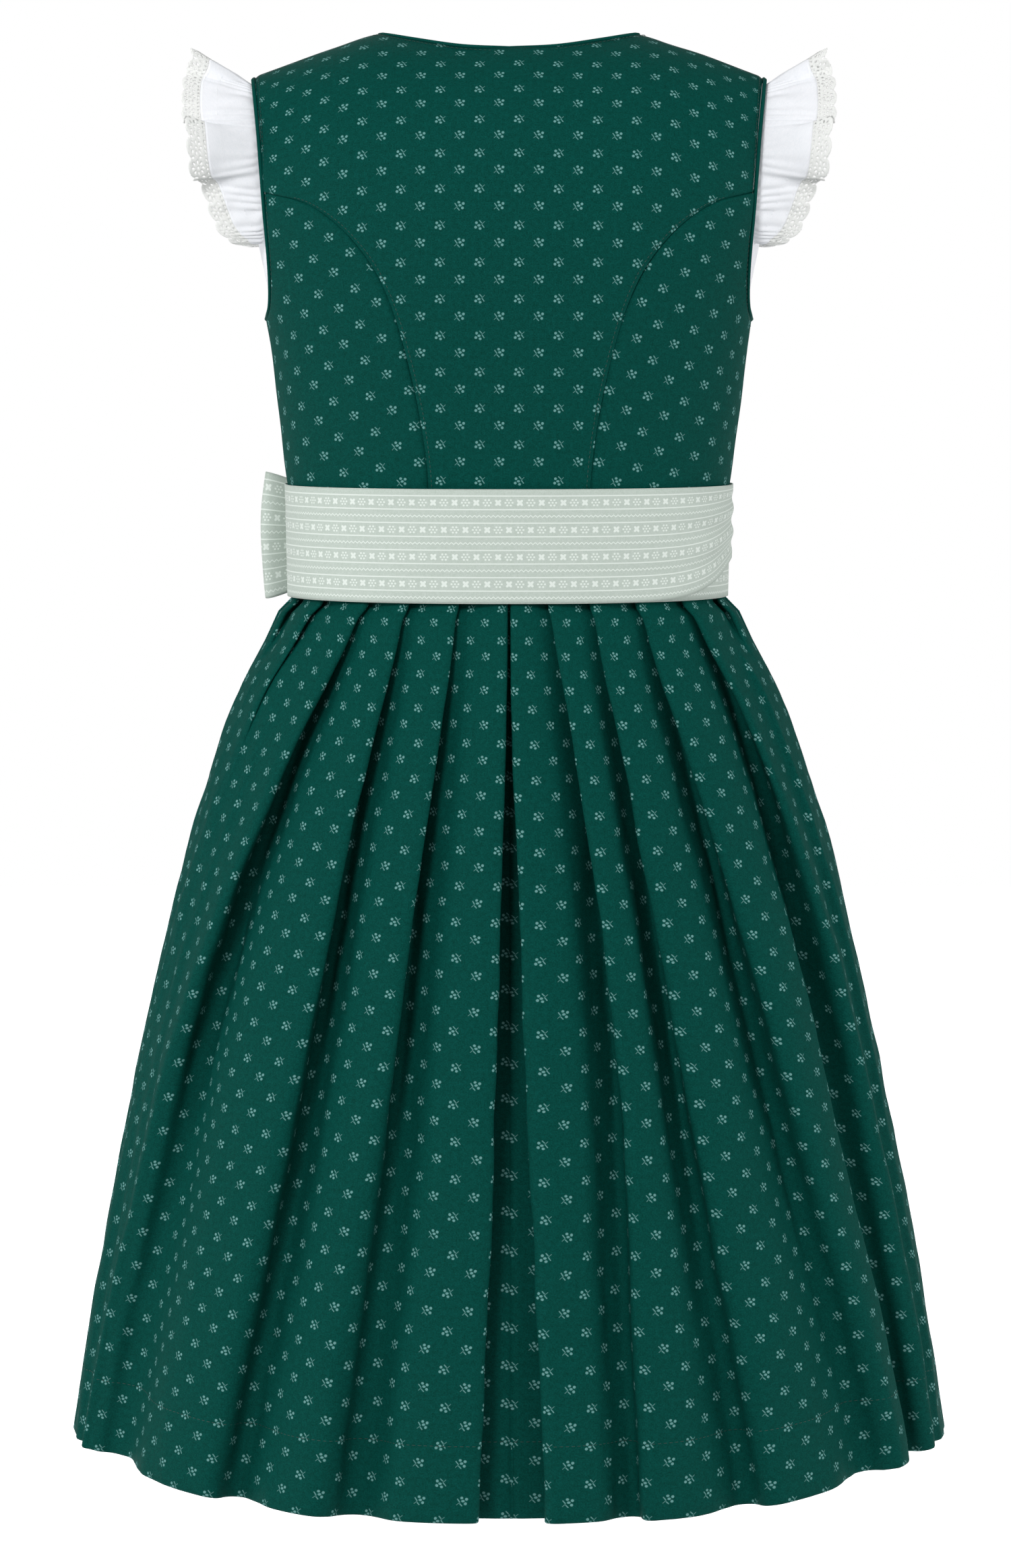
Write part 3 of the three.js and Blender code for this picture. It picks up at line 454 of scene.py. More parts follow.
def buildBandPattern():
    tree, given, out = newGroup("bandPattern", [("Vector", "NodeSocketVector", None)], ["Mask"])
    x, depth = clothXY(tree, given[0])
    pitch, motif = band["pitch"], band["motif"]
    y = depth + (band["topShift"] + pitch * band["rows"])
    step = (y / pitch).of("FLOOR")
    within = y - (step + 0.5) * pitch
    line = pitch / 2 - abs(within) - band["line"]
    flowerBand = step % 2.0
    along = x + (step * 0.5).of("FLOOR") % 2.0 * (motif / 2)

    def repeat(offset):
        return (along + offset) % motif - motif / 2

    def distance(a, b):
        return vectorValue(tree, "LENGTH", joinXY(tree, a, b))

    # a ring of six dots round a seventh
    ringX = repeat(0.0) / band["ringWide"]
    ringLength = (ringX * ringX + within * within).of("SQRT")
    sector = math.pi / 3
    folded = (within.step("ARCTAN2", within, ringX) + sector / 2) % sector - sector / 2
    beyond = ringLength * folded.of("COSINE") - band["dotRing"]
    dots = distance(beyond, ringLength * folded.of("SINE")) - band["dot"]
    heart = ringLength - band["dot"]
    # a four-petalled blossom between the rings
    bx, by = abs(repeat(motif / 2)), abs(within)
    slant = math.sqrt(0.5)
    long, wide = band["petal"]
    petals = (distance(((bx + by) * slant - long) / long, (bx - by) * slant / wide) - 1.0) * wide
    flowers = smallest([dots, heart, petals]) + (1.0 - flowerBand) * band["elsewhere"]
    # a thin zigzag in the other bands, but not at the cloth's edge
    period, high = band["zigzag"], band["zigzagHeight"]
    height = rangeNode(tree, x.step("PINGPONG", x, period / 2), 0.0, period / 2, -high, high)
    edgeBand = depth.step("LESS_THAN", abs(depth), pitch / 2)
    zigzag = abs(within - height) * band["zigzagSlope"] - band["zigzagLine"]
    zigzag = zigzag + (flowerBand + edgeBand) * band["elsewhere"]
    near = smallest([line, flowers, zigzag])
    linkOrSet(tree, out[0], rangeNode(tree, near, -band["edge"], band["edge"], 1.0, 0.0))
    return tree


def buildWeave():
    # diagonal or square threads with uneven yarn, as height and as a light-dark grain
    inputs = [("Vector", "NodeSocketVector", None), ("Thread", "NodeSocketFloat", 0.4),
              ("Slant", "NodeSocketFloat", 1.0)]
    tree, given, out = newGroup("clothWeave", inputs, ["Height", "Grain"])
    x, y = clothXY(tree, given["Vector"])
    slant = Wire(tree, given["Slant"])
    turn = 2 * math.pi / Wire(tree, given["Thread"])
    twill = ((x + y * slant) * turn).of("SINE")
    plain = (x * turn).of("SINE") * (y * turn).of("SINE")
    fine, broad = noiseNode(tree, given["Vector"], 1400, 2), noiseNode(tree, given["Vector"], 420, 3)
    linkOrSet(tree, out["Height"], twill * slant + plain * (1.0 - slant) + fine * 1.2)
    linkOrSet(tree, out["Grain"], fine * 0.65 + broad * 0.35)
    return tree


sprigPrint, bandPattern, clothWeave = buildSprigPrint(), buildBandPattern(), buildWeave()
print("node groups built")


def clothMaterial(name, look, patternGroup=None):
    material = bpy.data.materials.new(name)
    material.use_nodes = True
    tree = material.node_tree
    shader = tree.nodes["Principled BSDF"]
    uv = tree.nodes.new("ShaderNodeUVMap")
    uv.uv_map = "cloth"
    weave = tree.nodes.new("ShaderNodeGroup")
    weave.node_tree = clothWeave
    tree.links.new(uv.outputs[0], weave.inputs["Vector"])
    weave.inputs["Thread"].default_value = look["thread"]
    weave.inputs["Slant"].default_value = look["slant"]
    ground = mixColour(tree, rangeNode(tree, weave.outputs["Grain"], 0.32, 0.68, 0.0, 1.0),
                       linear(look["dark"]), linear(look["light"]))
    if patternGroup:
        pattern = tree.nodes.new("ShaderNodeGroup")
        pattern.node_tree = patternGroup
        tree.links.new(uv.outputs[0], pattern.inputs["Vector"])
        strength = Wire(tree, pattern.outputs["Mask"]) * look["patternStrength"]
        ground = mixColour(tree, strength, ground, linear(look["pattern"]))
    tree.links.new(ground, shader.inputs["Base Color"])
    bumpNode = tree.nodes.new("ShaderNodeBump")
    bumpNode.inputs["Strength"].default_value = look["weaveBump"]
    bumpNode.inputs["Distance"].default_value = 0.0002
    tree.links.new(weave.outputs["Height"], bumpNode.inputs["Height"])
    tree.links.new(bumpNode.outputs[0], shader.inputs["Normal"])
    shader.inputs["Roughness"].default_value = look["roughness"]
    shader.inputs["Specular IOR Level"].default_value = look["specular"]
    shader.inputs["Sheen Weight"].default_value = look["sheen"]
    shader.inputs["Sheen Roughness"].default_value = 0.45
    shader.inputs["Sheen Tint"].default_value = linear(look["sheenTint"])
    return material


looks = {
    "dress": {"dark": "#01372F", "light": "#064D46", "pattern": "#80B9B6", "patternStrength": 0.63,
              "thread": 0.45, "slant": 1.0, "weaveBump": 0.3, "roughness": 0.7, "specular": 0.03,
              "sheen": 0.01, "sheenTint": "#5F9F94"},
    "apron": {"dark": "#B0BDB3", "light": "#C1CBC4", "pattern": "#DFE7E1", "patternStrength": 0.95,
              "thread": 0.5, "slant": 0.0, "weaveBump": 0.2, "roughness": 0.6, "specular": 0.2, "sheen": 0.03,
              "sheenTint": "#FFFFFF"},
    "blouse": {"dark": "#EEF1F6", "light": "#F9FAFE", "thread": 0.4, "slant": 0.0, "weaveBump": 0.15,
               "roughness": 0.8, "specular": 0.2, "sheen": 0.1, "sheenTint": "#FFFFFF"},
    "lace": {"dark": "#F0F2EF", "light": "#FBFCFA", "thread": 0.6, "slant": 0.0, "weaveBump": 0.5,
             "roughness": 0.85, "specular": 0.15, "sheen": 0.1, "sheenTint": "#FFFFFF"},
}
dressCloth = clothMaterial("dress_cloth", looks["dress"], sprigPrint), "dress_cloth"
plainDressCloth = clothMaterial("dress_cloth_plain", looks["dress"]), "dress_cloth"
apronCloth = clothMaterial("apron_cloth", looks["apron"], bandPattern), "apron_cloth"
blouseCloth = clothMaterial("blouse_cloth", looks["blouse"]), "blouse_cloth"
laceCotton = clothMaterial("lace_cotton", looks["lace"]), "lace"


def plainMaterial(name, colour, roughness, specular=0.4, metallic=0.0):
    material = bpy.data.materials.new(name)
    material.use_nodes = True
    shader = material.node_tree.nodes["Principled BSDF"]
    shader.inputs["Base Color"].default_value = linear(colour)
    shader.inputs["Roughness"].default_value = roughness
    shader.inputs["Specular IOR Level"].default_value = specular
    shader.inputs["Metallic"].default_value = metallic
    return material


greenThread = plainMaterial("green_thread", "#0A3B33", 0.6), "dress_cloth"
whiteThread = plainMaterial("white_thread", "#F2F4F7", 0.7), "blouse_cloth"
print("materials built")

# the body that the bodice and blouse are fitted to
body = {
    "power": 2.3, "archBase": -110, "archPower": 2.6, "waist": -249, "hem": -727.6, "underarm": -136,
    "neck": 68, "tip": 131.6, "inset": 3.5, "tipLow": -9.8, "seamTop": -70.5, "seamHalf": 0.15,
    "grainPivot": 90,
    "half": [(-252, 110.2), (-220, 115.0), (-186, 119.4), (-156, 122.9), (-129, 126.9), (-100, 132.6),
             (-70, 139.6), (-40, 146.6), (0, 153.6), (20, 156.0)],
    "back": [(-252, 79.6), (-220, 83.6), (-186, 86.6), (-156, 89.0), (-129, 91.0), (-100, 92.0), (-70, 92.0),
             (-40, 91.0), (0, 88.0), (20, 86.0)],
    "front": [(-252, 81.4), (-220, 85.6), (-186, 90.0), (-156, 93.0), (-129, 92.5), (-100, 89.5), (-70, 84.5),
              (-40, 78.5), (0, 71.0), (20, 69.0)],
    "crest": [(0, 14.6), (40, 14.0), (68, 12.2), (90, 4.9), (112, -2.6), (134, -10.2), (160, -19.0)],
}
power = body["power"]
bodyHalf, bodyBack, bodyFront = (columnCurve(body[k]) for k in ("half", "back", "front"))
crestOver = columnCurve(body["crest"])
dressArmhole = {
    "back": columnCurve([(-136, 126.2), (-129, 123.4), (-116, 122.6), (-100, 123.2), (-79, 124.8),
                         (-58, 126.2), (-37, 127.9), (-17, 130.3), (-10, 131.6)]),
    "front": columnCurve([(-136, 126.2), (-129, 121.9), (-116, 117.2), (-100, 114.2), (-79, 113.2),
                          (-58, 115.2), (-37, 119.6), (-17, 127.6), (-10, 131.6)]),
}
blouseArmhole = {
    "back": columnCurve([(-97, 131.3), (-90, 130.6), (-75, 130.8), (-58, 132.2), (-37, 133.9), (-17, 136.5),
                         (-13, 137.4)]),
    "front": columnCurve([(-97, 131.3), (-90, 127.2), (-75, 121.8), (-58, 121.6), (-37, 125.8), (-17, 133.6),
                          (-13, 137.4)]),
}
princessX = columnCurve([(-249, 40.2), (-217, 41.6), (-198, 43.4), (-178, 46.6), (-154, 52.0), (-131, 58.8),
                         (-112, 67.0), (-98, 76.7), (-85, 89.7), (-75, 106.0), (-70.5, 123.6)])
backNeckZ = columnCurve([(0, 2.8), (25, 4.2), (50, 8.4), (68, 12.2)])
dressNeck = [(0, -110), (14, -109), (30, -104.5), (42, -96), (51, -82), (57.5, -60), (62, -32), (65.5, -8),
             (68, 12.2)]
blouseNeck = [(0, -80), (16, -78.5), (32, -72), (44, -61), (54, -45), (62, -24), (68, -4), (72, 9)]


def crestY(x):
    # the shoulder seam's place between back and front
    return 4 - np.abs(x) * 0.02


def bodyPoint(x, z, side, inset=0.0):
    # the body's surface over x and z: a superellipse, arched in to the crest at the shoulders
    x, z = np.broadcast_arrays(np.asarray(x, float), np.asarray(z, float))
    half = bodyHalf(z) - inset
    depth = (bodyBack(z) if side == "back" else bodyFront(z)) - inset
    across = np.minimum(1, np.abs(x) / half)
    flat = depth * (1 - across ** power) ** (1 / power)
    crest = crestOver(np.abs(x)) - inset
    rise = np.clip((z - body["archBase"]) / (crest - body["archBase"]), 0, 1)
    fall = np.sqrt(1 - rise ** body["archPower"])
    y = (flat if side == "back" else -flat) * fall + crestY(x) * (1 - fall)
    return np.stack([x, y, np.minimum(z, crest)], axis=-1)


def sectionArc(x, z, side):
    # distance round the body from the middle to x, at the height z or just under the shoulders' arch;
    # over the back and front the cloth lies flatter than the body
    level = np.minimum(z, body["archBase"])[..., None]
    xs = np.asarray(x)[..., None] * np.sin(np.linspace(0, 1, 40) * math.pi / 2)
    depth = bodyBack(level) if side == "back" else bodyFront(level)
    ys = depth * (1 - np.minimum(1, np.abs(xs) / bodyHalf(level)) ** power) ** (1 / power)
    whole = mix(1.0, 0.5, ease((np.asarray(z)[..., None] + 145) / 30))
    share = mix(0.5, whole, ease((np.abs(xs[..., 1:]) - 98) / 16))
    length = np.hypot(np.diff(xs, axis=-1), share * np.diff(ys, axis=-1)).sum(axis=-1)
    return np.sign(x) * length


def heightArc(x, z, side):
    # distance up the body from the waist to the height z, over the place x but clear of the armholes
    low, base = body["waist"], body["archBase"]
    clear = np.clip(x, -80, 80)
    share = (crestOver(np.abs(clear)) - base) / (crestOver(np.abs(x)) - base)
    z = np.where(z > base, base + (z - base) * share, z)
    zs = low + (z[..., None] - low) * np.linspace(0, 1, 40)
    ys = bodyPoint(clear[..., None] * np.ones(40), zs, side)[..., 1]
    return np.hypot(np.diff(zs, axis=-1), np.diff(ys, axis=-1)).sum(axis=-1)


def bodyUV(grid, side, turn=0.0, shift=(0.0, 0.0), droop=0.0):
    # cloth coordinates in metres; turn tips the grain of a cut piece, in degrees, and droop lets it fall
    # towards the shoulders
    x, z = grid[..., 0], grid[..., 2]
    facing = -1 if side == "back" else 1
    u, v = facing * sectionArc(x, z, side), heightArc(x, z, side) + droop * np.maximum(np.abs(x) - 40, 0) ** 2
    sine, cosine = math.sin(math.radians(turn)), math.cos(math.radians(turn))
    pivotU, pivotV = body["grainPivot"] * np.sign(np.mean(u)), body["grainPivot"]
    du, dv = u - pivotU, v - pivotV
    u, v = pivotU + du * cosine - dv * sine, pivotV + du * sine + dv * cosine
    return np.stack([u + shift[0], v + shift[1]], axis=-1) * mm


def outerX(armhole, side, z, underarm, inset):
    # a panel's outer edge: the side seam up to the underarm, then the armhole
    edge = bodyHalf(z) - inset
    return np.where(z < underarm, edge, np.minimum(edge, armhole[side](z)))


# bodice
bodice = {
    "thickness": 0.8, "seamDip": 0.75, "seamWidth": 1.5, "piping": 1.05, "pipingOut": 1.0,
    "wrinkle": 0.8, "sideGrain": 8.0,
    "under": {"inset": 1.75, "up": (0.1, 2.4)},  # how the side panels lie under the centre panel
    "seamStitch": {"length": 1.9, "gap": 0.55, "radius": 0.21, "lift": 0.42},
    "topstitch": 2.3, "armholeStitch": 2.1, "neckStitch": 2.6,
}


def dips(grid, edges, depth, width):
    # how far a panel sinks towards its sewn edges
    total = np.zeros(grid.shape[:2])
    across, up = runAlong(grid, 1), runAlong(grid, 0)
    far = {"start": across, "end": across[:, -1:] - across, "bottom": up, "top": up[-1:] - up}
    for edge in edges:
        total -= depth * np.exp(-((far[edge] / width) ** 2))
    return total


def allowance(grid, steps, side, sign=1):
    # more columns before the first: cloth turned in under the neighbour; steps are (aside, inset)
    x, z = sign * grid[:, 0, 0], grid[:, 0, 2]
    columns = np.stack([bodyPoint(x + aside, z, side, inset) for aside, inset in steps], axis=1)
    columns[..., 0] *= sign
    return np.concatenate([columns, grid], axis=1)


def levels(*stops):
    # heights with a step for each stretch: (from, to, count), ...
    parts = [np.linspace(a, b, n, endpoint=False) for a, b, n in stops]
    return np.concatenate(parts + [[stops[-1][1]]])


def centrePanelGrid():
    # the back's middle panel, between the princess seams, with the neckline and the shoulders on top
    low, high, seamTop = body["waist"], body["tipLow"], body["seamTop"]
    zs = levels((low, -86, 46), (-86, -68, 20), (-68, -20, 16), (-20, high, 8))
    s = np.sin(np.linspace(-1, 1, 141) * math.pi / 2)
    # above its seam the panel widens quickly to the armhole
    seamEdge = np.where(zs < seamTop, princessX(zs) - body["seamHalf"], 123.45 + (zs - seamTop) * 3.9)
    reach = np.minimum(seamEdge, dressArmhole["back"](zs))
    share = (zs - low) / (high - low)
    x = s[None, :] * reach[:, None]
    across = np.abs(s) * body["tip"]
    end = np.where(across < body["neck"], backNeckZ(across), crestOver(across))
    z = np.minimum(low + share[:, None] * (end[None, :] - low), crestOver(np.abs(x)))
    return bodyPoint(x, z, "back")


def bodiceBack():
    made, under = [], bodice["under"]
    grid = centrePanelGrid()
    uv = bodyUV(grid, "back", shift=(4.95, 7.7), droop=0.0005)
    x, z = grid[..., 0], grid[..., 2]
    drape = bodice["wrinkle"] * softNoise(x, z * 0.6, 75, 3) * ease((z + 245) / 60)
    drape += 0.5 * bump(z, -228, 9) * softNoise(x, z, 40, 5)
    sink = dips(grid, ("start", "end"), bodice["seamDip"], bodice["seamWidth"])
    grid = pushed(grid, drape + sink, -1)
    centre = sheetObject("cloth_back_centre", "bodice_back_centre", grid, uv, bodice["thickness"], dressCloth)
    lines = []
    for edge in ("start", "end"):
        points, normals = insetLine(grid, edge, bodice["topstitch"])
        low = points[:, 2] < -72
        lines.append((points[low], -normals[low]))
    for sign in (1, -1):
        points, normals, out = armholeEdge(sign)
        lines.append((points - out * bodice["armholeStitch"], normals))
    points, normals, out = neckEdge()
    lines.append((points - out * bodice["neckStitch"], normals))
    seams = stitchRow("stitches_bodice", lines, bodice["seamStitch"], greenThread)
    made.append((centre, grid, [seams]))

    for word, sign in bothSides:
        underarm = body["underarm"]
        zs = levels((body["waist"], underarm, 44), (underarm, -86, 34), (-86, body["seamTop"] - 0.1, 26))
        outer = outerX(dressArmhole, "back", zs, underarm, 0)
        inner = np.minimum(princessX(zs) + body["seamHalf"], outer - 0.9)
        t = np.sin(np.linspace(0, 1, 64) * math.pi / 2)
        x = mix(inner[:, None], outer[:, None], t[None, :])
        side = bodyPoint(x, zs[:, None] * np.ones_like(x), "back")
        side[..., 1] = np.maximum(side[..., 1], body["seamHalf"])
        side[..., 0] *= sign
        drape = bodice["wrinkle"] * softNoise(side[..., 0], side[..., 2] * 0.7, 60, 11 + sign)
        drape += dips(side, ("start", "end"), bodice["seamDip"], bodice["seamWidth"])
        flat = side
        side = pushed(side, drape, -sign)
        reach = 2.4 + 6 * ease((zs + 92) / 16)  # more cloth lies under where the seam turns to the armhole
        steps = [(-reach, under["inset"]), (-0.5 * reach, under["inset"]), (-0.1, under["inset"] - 0.05)]
        flat, side = allowance(flat, steps, "back", sign), allowance(side, steps, "back", sign)
        x = np.abs(side[-1, :, 0])
        above = np.array([bodyPoint(x, zs[-1] + up, "back", under["inset"]) for up in under["up"]])
        above[..., 0] *= sign
        flat, side = np.concatenate([flat, above]), np.concatenate([side, above])
        uv = bodyUV(flat, "back", turn=sign * -bodice["sideGrain"], shift=(sign * 3.0, 4.0))
        panel = sheetObject(f"cloth_back_side_{word}", f"bodice_back_side_{word}", side, uv,
                            bodice["thickness"], dressCloth)
        made.append((panel, side, []))
    return made


def frontGrid(sign, armhole, neck, underarm, bottom, top, inset, columns=64):
    # a front from the middle and the neckline to the side seam and the armhole
    knots = np.array([[x, 0, z] for x, z in neck], float)
    curve = smoothThrough(knots[None], [12] * (len(neck) - 1))[0]
    neckLine = resample(curve, 3.2)
    below = 40  # rows under the neckline
    middle = np.linspace(bottom, neck[0][1], below, endpoint=False)
    startX = np.concatenate([np.zeros(below), neckLine[:, 0]])
    startZ = np.concatenate([middle, neckLine[:, 2]])
    rows = len(startX)
    split = below / (rows - 1)
    t = np.linspace(0, 1, rows)
    turning = underarm - 12
    endZ = np.where(t < split, mix(bottom, turning, t / split), mix(turning, top, (t - split) / (1 - split)))
    endX = outerX(armhole, "front", endZ, underarm, inset)
    s = np.sin(np.linspace(0, 1, columns) * math.pi / 2)[None, :]
    x = mix(startX[:, None] + body["seamHalf"], endX[:, None], s)
    drop = np.where(np.arange(rows) == rows - 1, inset, 0)[:, None]
    z = mix(startZ[:, None] - drop, endZ[:, None], s)
    crest = crestOver(x) - inset
    z = np.minimum(z, crest)
    # the last rows rise to the shoulder's crest
    nearer = np.array([[0.5], [0.8], [0.95], [1.0]])
    z = np.concatenate([z[:-1], mix(z[-2:-1], crest[-1:], nearer)])
    x = np.concatenate([x[:-1], mix(x[-2:-1], x[-1:], nearer)])
    grid = bodyPoint(x, z, "front", inset)
    grid[..., 1] = np.minimum(grid[..., 1], crestY(x) - body["seamHalf"])
    grid[..., 0] *= sign
    return grid


def turnedEdge(grid, sign, underarm, inset, start, back):
    # three more columns after the last: cloth that goes on under the back at the side seam, and turns
    # inside at the armhole
    edge = grid[:, -1]
    below = (edge[:, 2] < underarm)[:, None]
    turned = [edge + np.where(below, (-sign * inset, far, 0), (-sign * 0.5 * (far - start), back, 0))
              for far in (0.9, 2.2, 3.6)]
    return np.concatenate([grid, np.stack(turned, axis=1)], axis=1)


def bodiceFront():
    made = []
    for word, sign in bothSides:
        grid = frontGrid(sign, dressArmhole, dressNeck, body["underarm"], body["waist"], body["tipLow"], 0)
        drape = 0.5 * bodice["wrinkle"] * softNoise(grid[..., 0], grid[..., 2] * 0.7, 70, 21 + sign)
        drape += dips(grid, ("end",), bodice["seamDip"], bodice["seamWidth"])
        flat = grid
        grid = pushed(grid, drape, sign)
        # the front edge goes on under the other front, and turns in at the neckline
        middle = flat[:, 0, 2] < dressNeck[0][1]
        over = np.where(middle, -8.0 if sign < 0 else -0.1, 2.4)
        steps = [(over, 1.6), (0.5 * over, 1.6), (0.1 * np.sign(over), 1.55)]
        flat, grid = allowance(flat, steps, "front", sign), allowance(grid, steps, "front", sign)
        grid = turnedEdge(grid, sign, body["underarm"], 1.6, 0.6, 1.2)
        flat = np.concatenate([flat, flat[:, -3:]], axis=1)
        uv = bodyUV(flat, "front", shift=(0, 2))
        panel = sheetObject(f"cloth_front_{word}", f"bodice_front_{word}", grid, uv, bodice["thickness"],
                            dressCloth)
        made.append((panel, grid, []))
    return made


def bodyNormal(x, z, side):
    # the way out of the body, measured a little under the shoulder's crest
    step = 0.5
    low = np.minimum(z, crestOver(np.abs(x)) - 1.5)
    aside = bodyPoint(x + step, low, side) - bodyPoint(x - step, low, side)
    up = bodyPoint(x, low + step, side) - bodyPoint(x, low - step, side)
    n = unit(np.cross(aside, up))
    return -n if side == "back" else n


def edgeOut(points, normals, centre, loop):
    # across an edge, along the cloth, towards the centre of the opening
    if loop:
        along = np.roll(points, -1, axis=0) - np.roll(points, 1, axis=0)
    else:
        along = np.gradient(points, axis=0)
    out = unit(np.cross(normals, unit(along)))
    towards = ((np.array(centre) - points) * out).sum(axis=1)
    return out * np.where(towards < 0, -1, 1)[:, None]


def armholeEdge(sign):
    # points round the dress's armhole, the cloth's normals there, and the way into the opening
    zs = levels((body["underarm"], -129, 8), (-129, -20, 46), (-20, body["tipLow"], 8))
    points, normals = [], []
    for side in ("front", "back"):
        x = np.minimum(bodyHalf(zs), dressArmhole[side](zs))
        p, n = bodyPoint(x, zs, side), bodyNormal(x, zs, side)
        points.append(p if side == "front" else p[::-1][1:-1])
        normals.append(n if side == "front" else n[::-1][1:-1])
    points, normals = np.concatenate(points), np.concatenate(normals)
    normals[0] = (1, 0, 0)
    out = edgeOut(points, normals, (134, 4, -72), True)
    out[0] = (0, 0, 1)
    mirror = np.array([sign, 1, 1])
    return points * mirror, normals * mirror, out * mirror


def neckEdge():
    # the same from the middle of the front round the neck
    knots = np.array([[x, 0, z] for x, z in dressNeck], float)
    curve = resample(smoothThrough(knots[None], [12] * (len(dressNeck) - 1))[0], 3.0)
    x, z = np.maximum(curve[:, 0], 0.5), curve[:, 2]
    rising, risingNormal = bodyPoint(x, z, "front"), bodyNormal(x, z, "front")
    bx = np.linspace(66, -66, 45)
    behind = bodyPoint(bx, backNeckZ(np.abs(bx)), "back")
    behindNormal = bodyNormal(bx, backNeckZ(np.abs(bx)), "back")
    mirror = np.array([-1, 1, 1])
    points = np.concatenate([rising, behind, rising[::-1] * mirror])
    normals = np.concatenate([risingNormal, behindNormal, risingNormal[::-1] * mirror])
    return points, normals, edgeOut(points, normals, (0, 10, 20), False)


def bindings():
    for word, sign in bothSides:
        points, normals, out = armholeEdge(sign)
        middle = points + out * bodice["pipingOut"]
        rollObject(f"piping_armhole_{word}", f"armhole_binding_{word}", middle, normals, bodice["piping"],
                   plainDressCloth, loop=True)
    points, normals, out = neckEdge()
    middle = points + out * bodice["pipingOut"]
    rollObject("piping_neck", "neck_binding", middle, normals, bodice["piping"], plainDressCloth,
               loop=False)


def declareSheets(pieces):
    # pieces are (object, grid, pieces sewn on it, cut); a cut is width, length and the share of them used
    for obj, grid, extras, cut in pieces:
        area = gridArea(grid)
        print(f"sheet {obj.name}: {area:.5f} m2, cut {cut}")
        width, length, share = cut
        share * width * length


backPieces = bodiceBack()
frontPieces = bodiceFront()
bindings()
print("bodice laid")

# blouse
blouse = {"thickness": 0.6, "tip": 137.4, "underarm": -97, "neckLow": -14, "neckHalf": 72, "bottom": -205,
          "wrinkle": 0.7}
blouseTipZ = float(crestOver(blouse["tip"])) - body["inset"]


def blouseBody():
    made = []
    inset, bottom, top = body["inset"], blouse["bottom"], blouseTipZ - 0.1
    zs = np.linspace(bottom, top, 64)
    s = np.sin(np.linspace(-1, 1, 91) * math.pi / 2)
    reach = outerX(blouseArmhole, "back", zs, blouse["underarm"], inset)
    t = (zs - bottom) / (top - bottom)
    across = np.abs(s) * blouse["tip"]
    crest = crestOver(across) - inset
    share = across / blouse["neckHalf"]
    end = np.where(share < 1, mix(blouse["neckLow"], crest, ease(share)), crest)
    x = s[None, :] * reach[:, None]
    z = np.minimum(bottom + t[:, None] * (end[None, :] - bottom), crestOver(np.abs(x)) - inset)
    grid = bodyPoint(x, z, "back", inset)
    grid[..., 1] = np.maximum(grid[..., 1], 0.3)
    drape = blouse["wrinkle"] * (0.5 * softNoise(x, z * 0.4, 30, 31) - 0.5)
    drape *= ease((np.abs(x) - reach[:, None] + 12) / -8)
    uv = bodyUV(grid, "back")
    grid = pushed(grid, drape, -1)
    back = sheetObject("blouse_cloth_back", "blouse_back", grid, uv, blouse["thickness"], blouseCloth)
    made.append((back, grid, [], (0.33, 0.24, 0.88)))
    for word, sign in bothSides:
        grid = frontGrid(sign, blouseArmhole, blouseNeck, blouse["underarm"], bottom, top, inset, 56)
        grid = turnedEdge(grid, sign, blouse["underarm"], 1.3, 0, 0.5)
        uv = bodyUV(grid, "front")
        front = sheetObject(f"blouse_cloth_front_{word}", f"blouse_front_{word}", grid, uv,
                            blouse["thickness"], blouseCloth)
        made.append((front, grid, [], (0.17, 0.22, 0.75)))
    return made


# ruffle sleeves, from the blouse's armhole outwards
ruffle = {
    "start": 14, "length": 37.5, "endLength": 2.5, "topDip": 8, "laceWidth": 10.5, "tuckedIn": 5.4,
    "under": 2.5, "depth": 9.5, "overhang": 9.5, "gathers": 46, "gatherDepth": 0.6,
    "stitchInsets": (8.5, 1.2), "stitch": {"length": 1.7, "gap": 0.5, "radius": 0.14, "lift": 0.3},
    # phase of the big waves against degrees from the top of the shoulder, in half turns
    "phase": [(0, -0.8), (34, 0.0), (65, 0.5), (81, 1.0), (99, 1.5), (126, 2.0), (158, 2.55)],
}
rufflePhase = columnCurve(ruffle["phase"])


